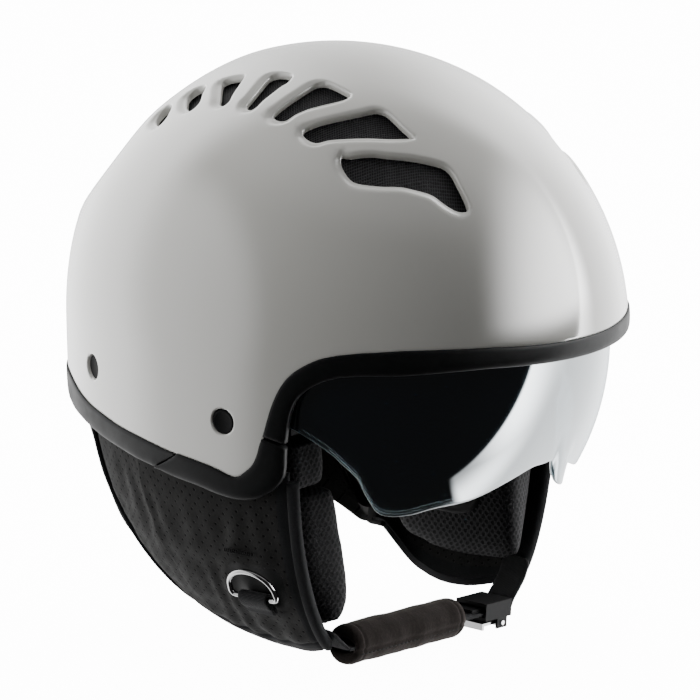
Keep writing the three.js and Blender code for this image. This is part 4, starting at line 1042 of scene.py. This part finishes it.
def build_neck_roll():
    nu, nv = 201, 90
    V, A, P, Nn = roll_grid(nu, nv)
    # smooth the normals across the nape
    for _ in range(12):
        Nn[1:-1] = (Nn[:-2] + 2 * Nn[1:-1] + Nn[2:]) / 4
        Nn[:, 1:-1] = (Nn[:, :-2] + 2 * Nn[:, 1:-1] + Nn[:, 2:]) / 4
    Nn /= np.linalg.norm(Nn, axis=-1, keepdims=True)
    uv = real_uv(P, nu // 2)
    x, y = uv[..., 0], uv[..., 1]
    t = 4.5 + 7.5 * np.sin(np.minimum(1, A * 1.5) * math.pi / 2)
    h = 0.7 * bumpy(x, y, 21, lo=0.015, hi=0.05) * np.clip((A - 0.12) / 0.1, 0, 1) * np.clip((1 - np.abs(V)) / 0.05, 0, 1)
    h = h - 1.6 * np.exp(-((1 - np.abs(V)) / 0.022) ** 2) - 0.2
    outp = P + Nn * h[..., None]
    inn = P - Nn * (t * 0.97)[..., None]
    k = np.clip((A - 0.80) / 0.20, 0, 1)[..., None]
    e = 1 - np.sqrt(np.clip(1 - k ** 2 * 0.85, 0, 1))
    mid = (outp + inn) / 2
    outp = outp + (mid - outp) * e; inn = inn + (mid - inn) * e
    lift = np.where(V > 0, far_lift(outp[..., 1], A), 0) * np.clip(V / 0.25, 0, 1); outp[..., 2] += lift; inn[..., 2] += lift
    o = slab_mesh("neck_pad", outp, inn, uv, M["perforated_cloth"])
    place(o, "neck_roll")
    # welt along the seam with each flap, sewn on with the pad
    welts = []
    for s in (-1, 1):
        aa = np.linspace(0.09, 0.975, 70); uu = np.full_like(aa, 1.004)
        p = curtain(uu, aa) + curtain_n(uu, aa) * (-0.35)
        if s > 0:
            p[:, 2] += far_lift(p[:, 1], aa)
        p[:, 0] *= s
        w = tube("welt", p, 1.35, n=110, sides=12, mat=M["binding"])
        welts.append(w)
    w = join(welts, "seam_welts")
    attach(w, "helmet")


CHK = dict(u0=0.0, u1=0.66, a0=0.09, a1=0.74)


def cheek_grids(nu, nv, s):
    i = np.linspace(0, 1, nu); j = np.linspace(0, 1, nv)
    I, J = np.meshgrid(i, j, indexing="ij")
    U = CHK["u0"] + (CHK["u1"] - CHK["u0"]) * I; A = CHK["a0"] + (CHK["a1"] - CHK["a0"]) * J
    out = curtain(U, A) - curtain_n(U, A) * 8.9
    out[..., 2] = np.minimum(out[..., 2], -61.8)
    inx = np.interp(J, [0, 0.25, 0.6, 0.85, 1], [66, 62.5, 61, 62, 67]) + 9 * np.abs(I - 0.45) ** 2
    inn = out.copy(); inn[..., 0] = inx
    inn[..., 1] -= 8 * (1 - I) ** 2.5 * np.minimum(1, 0.35 + J)
    return I, J, out * [s, 1, 1], inn * [s, 1, 1]


def soft_body(name, verts, faces, voxel, pressure, cap, frames=20):
    """Closed form remeshed and puffed with a short cloth run under inner pressure, applied."""
    o = new_object(name, verts, faces); face_out(o)
    bpy.context.view_layer.objects.active = o
    bpy.ops.object.select_all(action="DESELECT"); o.select_set(True)
    m = o.modifiers.new("even", "REMESH"); m.mode = "VOXEL"; m.voxel_size = voxel * MM
    m2 = o.modifiers.new("soften", "SMOOTH"); m2.iterations = 6; m2.factor = 0.5
    for k in ("even", "soften"):
        bpy.ops.object.modifier_apply(modifier=k)
    rest = np.array([v.co[:] for v in o.data.vertices])
    c = o.modifiers.new("cloth", "CLOTH"); st = c.settings
    st.use_pressure = True; st.uniform_pressure_force = pressure; st.quality = 5
    st.tension_stiffness = 30; st.compression_stiffness = 30; st.bending_stiffness = 4.0
    st.effector_weights.gravity = 0; c.collision_settings.use_collision = False
    sc = bpy.context.scene
    c.point_cache.frame_start, c.point_cache.frame_end = 1, frames
    for f in range(1, frames + 1):
        sc.frame_set(f)
    bpy.ops.object.modifier_apply(modifier="cloth")
    sc.frame_set(1)
    now = np.array([v.co[:] for v in o.data.vertices]); d = now - rest
    L = np.linalg.norm(d, axis=1, keepdims=True)
    now = rest + d * np.minimum(1, cap * MM / np.maximum(L, 1e-9))
    o.data.vertices.foreach_set("co", now.ravel())
    m = o.modifiers.new("fine", "SUBSURF"); m.levels = m.render_levels = 1
    bpy.ops.object.modifier_apply(modifier="fine")
    o.data.polygons.foreach_set("use_smooth", [True] * len(o.data.polygons)); o.data.update()
    return o


def wrap_uv(o, s):
    """Flat cloth coordinates that run round from the inner face to the front face, mm."""
    lay = o.data.uv_layers.get("flat") or o.data.uv_layers.new(name="flat")
    co = np.array([v.co[:] for v in o.data.vertices]) * 1000
    ax = np.abs(co[:, 0]); zb = np.linspace(co[:, 2].min(), co[:, 2].max(), 13); zc, y0, x0 = [], [], []
    for a, b in zip(zb[:-1], zb[1:]):
        m = (co[:, 2] >= a - 0.5) & (co[:, 2] <= b + 0.5)
        if m.any():
            k = np.where(m)[0][co[m, 1].argmin()]; zc.append((a + b) / 2); y0.append(co[k, 1]); x0.append(ax[k])
    y0, x0 = np.interp(co[:, 2], zc, y0), np.interp(co[:, 2], zc, x0)
    uv = np.stack([np.where(ax < x0, 1, -1) * (co[:, 1] - y0) - ax, co[:, 2]], -1)
    idx = np.empty(len(o.data.loops), np.int32); o.data.loops.foreach_get("vertex_index", idx)
    lay.data.foreach_set("uv", uv[idx].astype(np.float32).ravel())


def build_cheeks():
    from mathutils.bvhtree import BVHTree
    for side, s in (("right", -1), ("left", 1)):
        nu, nv, nw = 40, 34, 12
        I, J, out, inn = cheek_grids(nu, nv, s)
        # a little smaller than the finished pad, which swells
        cen = (out + inn).mean((0, 1)) / 2
        front = np.clip(1 - I / 0.25, 0, 1)[..., None]
        lay = []
        for k in range(nw):
            t = k / (nw - 1)
            p = out * (1 - t) + inn * t
            # corners of the section are pulled in
            e = abs(2 * t - 1) ** 5
            q = cen + (p - cen) * np.array([1, 1 - 0.07 * e, 1 - 0.07 * e])
            q[..., 1] -= (2.6 * front[..., 0]) * (1 - e)
            q[..., 0] = p[..., 0] - s * 0.9 * (t < 0.02) + s * 0.9 * (t > 0.98)
            lay.append(q)
        L = np.array(lay); n1 = nu * nv
        v = L.reshape(-1, 3); f = []
        f += [tuple(x) for x in grid_faces(nu, nv)]
        f += [tuple(x) for x in grid_faces(nu, nv, base=(nw - 1) * n1, flip=True)]
        ring = [i * nv for i in range(nu)] + [(nu - 1) * nv + j for j in range(1, nv)] + [i * nv + nv - 1 for i in range(nu - 2, -1, -1)] + [j for j in range(nv - 2, 0, -1)]
        for k in range(nw - 1):
            for a, b in zip(ring, ring[1:] + ring[:1]):
                f.append((a + k * n1, a + (k + 1) * n1, b + (k + 1) * n1, b + k * n1))
        o = soft_body(side + "_cheek_cushion", v, f, 3.6, 3.0, 2.6)
        wrap_uv(o, s)
        o.data.materials.append(M["spacer_mesh"])
        place(o, side + "_cheek_pad")
        # smooth sewn panel on the inner face
        tree = BVHTree.FromObject(o, bpy.context.evaluated_depsgraph_get()) if False else None
        bm = bmesh.new(); bm.from_mesh(o.data); tree = BVHTree.FromBMesh(bm); bm.free()
        n = 46
        a = np.linspace(-1, 1, n); PI, PJ = np.meshgrid(a, a, indexing="ij")
        m = np.maximum(np.abs(PI), np.abs(PJ)); Ls = (np.abs(PI) ** 3.2 + np.abs(PJ) ** 3.2) ** (1 / 3.2)
        k = np.where(Ls > 1e-6, m / np.maximum(Ls, 1e-6), 1)
        lo_, hi_ = inn[..., 1].min(), inn[..., 1].max(); zl, zh = inn[..., 2].min(), inn[..., 2].max()
        cy, cz = lo_ + 0.46 * (hi_ - lo_), zl + 0.60 * (zh - zl)
        Y = cy + PI * k * 0.26 * (hi_ - lo_); Z = cz + PJ * k * 0.27 * (zh - zl)
        g = np.zeros((n, n, 3))
        for i in range(n):
            for j in range(n):
                h = tree.ray_cast(Vector((0, Y[i, j] * MM, Z[i, j] * MM)), Vector((s, 0, 0)))
                g[i, j] = (h[0].x / MM if h[0] is not None else s * 66, Y[i, j], Z[i, j])
        e2 = np.clip((1 - m) / 0.09, 0, 1)
        top = g.copy(); top[..., 0] -= s * (0.2 + 1.3 * np.sqrt(1 - (1 - e2) ** 2) - 0.6 * np.exp(-((m - 0.87) / 0.03) ** 2))
        bot = g.copy(); bot[..., 0] += s * 0.4
        q = slab_mesh(side + "_cheek_panel", top, bot, grid_uv(g), M["patch"])
        place(q, side + "_cheek_patch")


def build_temples():
    out2d = [(-50, -42), (-47, -38.6), (-25, -38.6), (-22.2, -41), (-22.2, -58), (-25, -60.8), (-47, -60.8), (-50.8, -57)]
    ring = smooth_path(np.array(out2d, float), 90, closed=True)
    c = ring.mean(0)
    for side, s in (("right", -1), ("left", 1)):
        secs = []
        for t in np.linspace(0, 1, 26):
            x = 99.3 - 27.0 * t
            k = (1 - max(0, (t - 0.55) / 0.45) ** 2.6 * 0.52) * (1 - 0.12 * max(0, 1 - t / 0.12) ** 2)
            r = c + (ring - c) * k
            secs.append(np.column_stack([np.full(len(r), s * x), r]))
        for k, x in ((0.30, 71.9), (0.12, 71.8)):
            r = c + (ring - c) * k
            secs.append(np.column_stack([np.full(len(r), s * x), r]))
        sec = np.array(secs)
        o = sweep(side + "_temple_cushion", sec[:, 0], sec, mat=M["spacer_mesh"], uv_scale=1.0)
        wrap_uv(o, s)
        place(o, side + "_temple_pad")


def dome_slab(name, D, ed, t, quilt, mat):
    """Pad on the cavity: directions D (nu, nv, 3), ed 0 at the rim to 1 inside, thickness t."""
    R = cav_r(D) - 0.6
    r = np.sqrt(np.clip(1 - (1 - np.clip(ed, 0, 1)) ** 2, 0, 1))
    inn = D * (R - 0.6 - (t - 0.6) * (0.35 + 0.65 * r) + quilt)[..., None]
    out = D * R[..., None]
    return slab_mesh(name, out, inn, grid_uv(out), mat)


def build_liners():
    # crown liner: polar grid closed round the top
    n, m = 96, 34
    ph = np.linspace(0, 2 * math.pi, n, endpoint=True); tt = np.linspace(0.002, 1, m)
    TH = np.zeros((n, m)); PH = np.zeros((n, m))
    for i, p in enumerate(ph):
        th = 0.9
        for _ in range(20):
            d = dir_of(np.array(th), np.array(p)); R = float(cav_r(d)) - 0.6
            th = math.acos(np.clip(46.8 / R, -1, 1))
        TH[i] = tt * th; PH[i] = p
    D = dir_of(TH, PH)
    T = np.broadcast_to(tt, (n, m))
    ed = (1 - T) / 0.16
    q = 1.1 * np.exp(-((np.abs(np.sin(PH * 2)) * T) / 0.05) ** 2) * np.clip(ed, 0, 1) * (T > 0.3)
    o = dome_slab("crown_cushion", D, ed, 5.8, q, M["lining_fabric"])
    bm = bmesh.new(); bm.from_mesh(o.data); bmesh.ops.remove_doubles(bm, verts=bm.verts, dist=2e-5); bm.to_mesh(o.data); bm.free()
    place(o, "crown_liner")
    # brow pad: y < -46, z 19.5..45 ; back pad: y > 30
    for name, node, front in (("brow_cushion", "brow_pad", True), ("back_cushion", "occipital_pad", False)):
        n, m = 120, 30
        s = np.linspace(-1, 1, n); v = np.linspace(0, 1, m)
        S, V = np.meshgrid(s, v, indexing="ij")
        if front:
            pm = math.acos(46.6 / 101) * 1.0
            PH = S * pm; Z = 19.8 + 24.8 * V
        else:
            pm = math.acos(31 / 101.0)
            PH = math.pi + S * pm; Z = None
        TH = np.full((n, m), 1.4)
        for _ in range(24):
            d = dir_of(TH, PH); R = cav_r(d) - 0.6
            P = d * R[..., None]
            if front:
                z = Z
                # keep the ends behind y = -46
            else:
                lo = -30 + (P[..., 1] - 30) * 12 / 100.0 + 0.8
                z = lo + (44.6 - lo) * V
            TH = np.arccos(np.clip(z / R, -1, 1))
        D = dir_of(TH, PH)
        if front:
            P = D * R[..., None]
        ed = np.minimum((1 - np.abs(S)) / 0.06, np.minimum(V, 1 - V) / 0.16)
        q = 0.9 * np.exp(-((V - 0.5) / 0.03) ** 2) * np.clip(ed, 0, 1)
        o = dome_slab(name, D, ed, 5.8, q, M["lining_fabric"])
        place(o, node)


build_curtains()
build_neck_roll()
build_cheeks()
build_temples()
build_liners()


# --------------------------------------------------------------------- lens
def lens_rho(x, o):
    return (VR - o) * np.maximum(0, 1 - (np.abs(x) / VA) ** VP) ** (1 / VP)


def lens_pt(x, al, o):
    r = lens_rho(x, o); a = np.radians(al)
    return np.stack([VC[0] + x * (VA - o) / VA, VC[1] - r * np.cos(a), VC[2] + r * np.sin(a)], -1)


def build_lens():
    lp = np.array(LENS_LOW, float)
    lp = np.concatenate([lp[::-1] * [-1, 1], lp[1:]])
    t = smooth_path(lp, 240)
    up = np.interp(np.abs(t[:, 0]), [p[0] for p in LENS_UP], [p[1] for p in LENS_UP])
    X = np.clip(t[:, 0], -108.9, 108.9)
    nu, nv = len(X), 60
    V = np.linspace(0, 1, nv)
    al = t[:, 1][:, None] + (up - t[:, 1])[:, None] * V[None, :]
    Xg = np.repeat(X[:, None], nv, 1)
    # finger tab: the lower edge runs down and flares out between x 8.5 and 25.5
    tx = np.clip((Xg - 17) / 8.9, -1, 1)
    w = np.clip(1 - np.abs(tx) ** 3.2, 0, 1) * (np.abs(Xg - 17) < 8.9)
    j = np.clip(1 - V / 0.20, 0, 1)[None, :]
    al_t = al - w * j * 5.0
    flare = 4.4 * (w * j) ** 2
    dist_edge = np.minimum(V[None, :] * 22, 99) + 0 * Xg
    def face(o):
        return lens_pt(Xg, al_t, o - flare)
    outer, inner = face(0.03), face(1.97)
    o = slab_mesh("sun_lens", outer, inner, grid_uv(outer), M["lens_smoke"])
    # the side faces and the bevel round them take the pale edge material, a painted highlight along the lens's rim
    o.data.materials.append(M["lens_edge_painted_highlight"])
    N = nu * nv
    mi = np.zeros(len(o.data.polygons), np.int32)
    for p in o.data.polygons:
        ks = [v for v in p.vertices]
        if any(v >= N for v in ks) and any(v < N for v in ks):
            mi[p.index] = 1
    o.data.polygons.foreach_set("material_index", mi)
    bevel(o, 0.55, 3, 50); o.modifiers["edge"].material = 1
    # arms: round pads on the pivots
    for s in (-1, 1):
        prof = [(3.35, 0.0), (12.6, 0.0), (13, 0.35), (13, 1.65), (12.6, 2.0), (3.35, 2.0), (3.35, 0.0)]
        d = lathe("disc", prof, [s * 106.8, VC[1], VC[2]], [s, 0, 0], 56, M["lens_smoke"])
        o = join([o, d], "sun_lens")
    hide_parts("sun_visor"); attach(o, "visor")


build_lens()


# --------------------------------------------------------------- chin strap
ct, st_ = math.cos(RUN_TILT), math.sin(RUN_TILT)
RX, RZ = np.array([ct, 0, -st_]), np.array([st_, 0, ct])


def run_pt(x, y, z):
    x, y, z = np.broadcast_arrays(np.asarray(x, float), np.asarray(y, float), np.asarray(z, float))
    return RUN_C + x[..., None] * RX + y[..., None] * np.array([0, 1, 0]) + z[..., None] * RZ


def unit(v):
    return v / np.maximum(np.linalg.norm(v, axis=-1, keepdims=True), 1e-9)


def ribbon(name, stations, w=16.5, t=1.8, n=120, mat=None, seed=1):
    """stations: (p, across, normal). Rounded flat section."""
    P = np.array([np.concatenate([a, unit(np.array(b, float)), unit(np.array(c, float))]) for a, b, c in stations])
    Q = smooth_path(P, n)
    p, W, Nn = Q[:, :3], unit(Q[:, 3:6]), Q[:, 6:9]
    Nn = unit(Nn - W * (Nn * W).sum(1, keepdims=True))
    prof = []
    for k in range(28):
        a = 2 * math.pi * k / 28
        cx, sx = math.cos(a), math.sin(a)
        prof.append((math.copysign(abs(cx) ** 0.22, cx) * w / 2 * 0.995, math.copysign(abs(sx) ** 0.45, sx) * t / 2))
    prof = np.array(prof)
    sec = p[:, None] + prof[None, :, 0, None] * W[:, None] + prof[None, :, 1, None] * Nn[:, None]
    return sweep(name, p, sec, mat=mat, uv_scale=1.0)


def off(u, a, d, s):
    p = curtain(u, a); n = curtain_n(u, a)
    q = p - n * d
    return np.array([s * q[0], q[1], q[2]]), np.array([s * n[0], n[1], n[2]])


def strap_line(s):
    st = [((s * 108.4, -22, -36), (0, 1, 0), (s, 0, 0)), ((s * 104.6, -22, -48), (0, 1, 0), (s, 0, 0))]
    for a, u in ((0.17, 0.268), (0.3, 0.25), (0.45, 0.22), (0.58, 0.185), (0.7, 0.15)):
        p, n = off(u, a, 7.3, s)
        w = np.array([0, 1, 0]) - n * n[1]
        st.append((p, w, n))
    st.append(((s * 78.5, -47.5, -133.5), (0, 1, 0.05), (s * 0.72, 0, -0.69)))
    st.append(((s * 73.6, -50.5, -139.6), (0, 1, 0), (s * 0.66, 0, -0.75)))
    if s < 0:
        st.append(((-70.6, -52.3, -143.1), (0, 1, 0), (-0.55, 0, -0.83)))
    else:
        st += [((67.2, -51.8, -144.4), (0, 1, 0), (0.62, 0, -0.78)), ((60.6, -52.5, -149.4), (0, 1, 0), (0.8, 0, -0.6)), ((58.2, -52.5, -153.4), (0, 1, 0), (1, 0, 0.07))]
    return st


def build_strap():
    o = ribbon("left_strap", strap_line(1), mat=M["webbing"], n=110)
    place(o, "left_chin_strap")
    o = ribbon("right_strap", strap_line(-1), mat=M["webbing"], n=110)
    place(o, "right_chin_strap")
    # the run through the sleeve, with the bridge that joins it to the flap
    s0 = run_pt(-49, 0, 0)
    st = [((-70.4, -52.3, -143.2), (0, 1, 0), (-0.5, 0, -0.86)), (tuple((np.array([-70.4, -52.3, -143.2]) + s0) / 2 + [0, 0, -0.4]), (0, 1, 0), (-0.25, 0, -0.97)), (tuple(s0), (0, 1, 0), tuple(-RZ))]
    for x in (-30, 0, 30, 57.3):
        st.append((tuple(run_pt(x, 0, 0)), (0, 1, 0), tuple(-RZ)))
    o = ribbon("strap_webbing", st, mat=M["webbing"], n=120)
    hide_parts("strap_run")
    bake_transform(o)
    # padded sleeve: soft tube, flattened seam with stitches, gathered ends
    nx, nt = 110, 56
    xs = np.linspace(-46.5, 40.5, nx); t = np.linspace(0, 2 * math.pi, nt, endpoint=False)
    X, T = np.meshgrid(xs, t, indexing="ij")
    e = np.clip((43.5 - np.abs(X + 3)) / 5.5, 0, 1)
    r0 = 8.35 + 2.05 * np.sqrt(1 - (1 - e) ** 2)
    wr = 0.16 * np.sin(X / 4.6 + 1.4 * np.sin(T * 2 + X / 17)) * (0.4 + 0.6 * bumpy(X, T * 9, 41, lo=0.01, hi=0.05)) + 0.35 * bumpy(X, T * 9.5, 43, lo=0.02, hi=0.07)
    seam = np.exp(-(((T - 3.30 + math.pi) % (2 * math.pi) - math.pi) / 0.10) ** 2)
    r = r0 + wr * e - 0.9 * seam - 0.25 - 0.55 * (np.exp(-((X + 40.5) / 0.7) ** 2) + np.exp(-((X - 35.0) / 0.7) ** 2))
    r = np.minimum(r, 10.75)
    out = run_pt(X, r * np.cos(T), r * np.sin(T))
    rin = 7.4 + 0 * r
    inn = run_pt(X, rin * np.cos(T) * 1.18, rin * np.sin(T) * 0.55)
    v = np.concatenate([out.reshape(-1, 3), inn.reshape(-1, 3)]); Nn = nx * nt
    f = grid_faces(nx, nt, wrap_v=True) + grid_faces(nx, nt, base=Nn, wrap_v=True, flip=True)
    for i in (0, nx - 1):
        for j in range(nt):
            a, b = i * nt + j, i * nt + (j + 1) % nt
            f.append((a, b, b + Nn, a + Nn) if i == 0 else (b, a, a + Nn, b + Nn))
    uv = np.stack([X, T * 10.2], -1).reshape(-1, 2)
    o = face_out(new_object("strap_sleeve", v, f, np.concatenate([uv, uv]), True, M["suede"]))
    place(o, "chin_sleeve", body="sleeve")
    # stitches beside the seam
    sts = []
    for k in range(26):
        x = -42 + 77 * k / 25
        for dt in (0.17,):
            a = 3.30 + dt
            pts = [run_pt(x - 1.1, 9.85 * math.cos(a), 9.85 * math.sin(a)), run_pt(x, 10.25 * math.cos(a), 10.25 * math.sin(a)), run_pt(x + 1.1, 9.85 * math.cos(a), 9.85 * math.sin(a))]
            sts.append(tube("st", pts, 0.26, n=6, sides=6, mat=M["thread"]))
    o = join(sts, "sleeve_stitches"); o.data.materials.clear(); o.data.materials.append(M["patch"]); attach(o, "sleeve")


build_strap()


# ----------------------------------------------------- hook ring and its tab
def build_ring():
    u, a = 0.19, 0.43
    p = curtain(np.array(u), np.array(a)); n = curtain_n(np.array(u), np.array(a))
    O = np.array([-p[0], p[1], p[2]]); Nv = np.array([-n[0], n[1], n[2]])
    Y = unit(np.array([0, 1.0, 0]) - Nv * Nv[1]); Z = np.cross(Nv, Y)
    if Z[2] < 0:
        Z = -Z
    at = lambda y, z, d: O + Y * y + Z * z + Nv * d
    D = [(13.5 * math.cos(math.pi * i / 12), 2 + 13.5 * math.sin(math.pi * i / 12) * 0.78) for i in range(13)]
    loop = [at(q[0], q[1], 3.9) for q in D + [(-13.5, -1), (-11, -2.6), (0, -2.6), (11, -2.6), (13.5, -1)]]
    o = tube("d_ring", loop, 1.3, n=110, sides=20, closed=True, mat=M["chrome"])
    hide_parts("hook_ring"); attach(o, "ring")
    st = []
    w = tuple(Y)
    prof = [(-12.8, 0.9), (-9, 1.0), (-5, 1.15), (-3.0, 1.3)]
    for z, d in prof:
        st.append((tuple(at(0, z, d)), w, tuple(Nv)))
    for k in range(1, 6):
        t = -math.pi / 2 + math.pi * k / 6
        nn = Z * math.cos(t) + Nv * math.sin(t)
        st.append((tuple(at(0, -2.6 + 2.35 * math.cos(t), 3.9 + 2.35 * math.sin(t))), w, tuple(-nn)))
    for z, d in [(-3.2, 6.2), (-6.5, 5.3), (-9.5, 3.6), (-12.8, 2.6)]:
        st.append((tuple(at(0, z, d)), w, tuple(-Nv)))
    o = ribbon("ring_tab", st, w=16.8, t=1.1, n=70, mat=M["webbing"])
    place(o, "hook_ring_tab")
    # bar tack above the ring, sewn through the flap
    ks = []
    for k in range(15):
        y = -3 + 16 * k / 14
        q = [at(y, 19.3, -0.1), at(y + 0.25, 20.5, 0.55), at(y, 21.7, -0.1)]
        ks.append(tube("bt", q, 0.33, n=6, sides=6, mat=M["thread"]))
    o = join(ks, "bar_tack"); o.data.materials.clear(); o.data.materials.append(M["patch"]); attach(o, "helmet")


build_ring()


# -------------------------------------------------- CAD pieces that stay shown
KEEP = {
    "foam_liner": "foam", "right_vent_mesh": "vent_mesh", "left_vent_mesh": "vent_mesh", "right_visor_bracket": "black_plastic", "left_visor_bracket": "black_plastic",
    "right_pivot_screw": "steel", "left_pivot_screw": "steel", "right_strap_rivet": "steel", "left_strap_rivet": "steel", "right_rear_screw": "steel", "left_rear_screw": "steel",
    "right_strap_anchor": "steel", "left_strap_anchor": "steel", "ratchet_rack": "black_plastic", "buckle_housing": "black_plastic", "release_lever": "chrome", "lever_pin": "steel",
}
for node, mat in KEEP.items():
    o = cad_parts[node]
    o.data.materials.clear(); o.data.materials.append(M[mat])
    if node in ("buckle_housing", "release_lever", "ratchet_rack"):
        bevel(o, 0.5 if node != "ratchet_rack" else 0.2, 3, 30)
    bpy.context.view_layer.objects.active = o


# ---------------------------------------------------------- floor and lights
def build_stage():
    z = CAD_BOX[0][2] * 1000 - 0.5
    o = new_object("floor", [(-6000, -6000, z), (6000, -6000, z), (6000, 6000, z), (-6000, 6000, z)], [(0, 1, 2, 3)], None, False)
    x = Mat("floor_paper", rough=0.9)
    x.color(x.mix(x.noise(3, 3), (0.93, 0.93, 0.93), (0.96, 0.96, 0.96))); x.bump(x.noise(600, 3), 0.02, 0.05)
    o.data.materials.append(x.m)
    o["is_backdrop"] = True
    o.visible_diffuse = False; o.visible_glossy = False
    w = bpy.data.worlds.new("studio"); bpy.context.scene.world = w; w.use_nodes = True
    nt = w.node_tree; nt.nodes.clear()
    out = nt.nodes.new("ShaderNodeOutputWorld"); bg = nt.nodes.new("ShaderNodeBackground"); nt.links.new(bg.outputs[0], out.inputs[0])
    tc = nt.nodes.new("ShaderNodeTexCoord")

    def dot(v):
        d = nt.nodes.new("ShaderNodeVectorMath"); d.operation = "DOT_PRODUCT"
        nt.links.new(tc.outputs["Generated"], d.inputs[0]); d.inputs[1].default_value = v
        return d.outputs["Value"]

    def step(x, a, b):
        m = nt.nodes.new("ShaderNodeMapRange"); m.interpolation_type = "SMOOTHSTEP"
        m.inputs[1].default_value, m.inputs[2].default_value = a, b
        nt.links.new(x, m.inputs[0])
        return m.outputs[0]

    def op(kind, a, b):
        m = nt.nodes.new("ShaderNodeMath"); m.operation = kind
        for i, v in enumerate((a, b)):
            if isinstance(v, (int, float)):
                m.inputs[i].default_value = v
            else:
                nt.links.new(v, m.inputs[i])
        return m.outputs[0]
    db, dr, dm, dz = dot(tuple(BACK)), dot(tuple(RIGHT)), dot((0.64, 0.614, -0.461)), dot((0, 0, 1))
    ndb, ndr = op("MULTIPLY", db, -1.0), op("MULTIPLY", dr, -1.0)
    back = step(ndb, 0.0, 0.35); front = op("SUBTRACT", 1.0, back)
    t = [(K_UNI, None), (K_BR, op("MULTIPLY", back, step(dr, -0.2, 0.6))), (K_BL, op("MULTIPLY", back, step(ndr, -0.2, 0.6))),
         (K_BOX, op("MULTIPLY", op("MULTIPLY", op("MULTIPLY", step(dm, -0.01, 0.03), step(dr, 0.49, 0.55)), front),
                       op("ADD", 0.12, op("MULTIPLY", 0.88, op("MAXIMUM", op("POWER", step(dr, 0.5, 0.95), 2.2), step(dm, 0.0, 0.4)))))),
         (K_LEFT, op("MULTIPLY", step(ndr, 0.75, 0.9), front)), (K_TOP, op("MULTIPLY", step(dz, 0.6, 0.9), front))]
    total = None
    for k, x in t:
        y = op("MULTIPLY", 1.0 if x is None else x, k)
        total = y if total is None else op("ADD", total, y)
    lp = nt.nodes.new("ShaderNodeLightPath")
    ramp = op("POWER", step(dr, 0.48, 1.02), 1.35)
    soft = op("MULTIPLY", op("MULTIPLY", op("MULTIPLY", step(dz, -0.05, 0.12), ramp), front), op("MULTIPLY", lp.outputs["Is Glossy Ray"], K_UR))
    total = op("ADD", total, soft)
    cam_part = op("MULTIPLY", lp.outputs["Is Camera Ray"], 14.0)
    total = op("SUBTRACT", total, op("MULTIPLY", lp.outputs["Is Glossy Ray"], 0.06))
    rest = op("MULTIPLY", total, op("SUBTRACT", 1.0, lp.outputs["Is Camera Ray"]))
    nt.links.new(op("ADD", cam_part, rest), bg.inputs[1]); bg.inputs[0].default_value = (1, 1, 1, 1)
    # a lamp for the paper alone
    l = bpy.data.lights.new("paper_lamp", "SUN"); l.energy = 45.0; l.angle = 0.6
    lo_ = bpy.data.objects.new("paper_lamp", l); bpy.context.scene.collection.objects.link(lo_)
    rc = bpy.data.collections.new("paper_only"); rc.objects.link(o)
    lo_.light_linking.receiver_collection = rc
    bc = bpy.data.collections.new("paper_shadow"); bc.objects.link(o)
    lo_.light_linking.blocker_collection = bc


K_UNI, K_BR, K_BL, K_BOX, K_LEFT, K_TOP, K_UR = 0.09, 5.1, 4.1, 24.0, 2.0, 0.6, 20.0
build_stage()

bpy.context.view_layer.update()
lo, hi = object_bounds()
print("size", [list(map(float, c)) for c in CAD_BOX], [list(map(float, lo)), list(map(float, hi))])
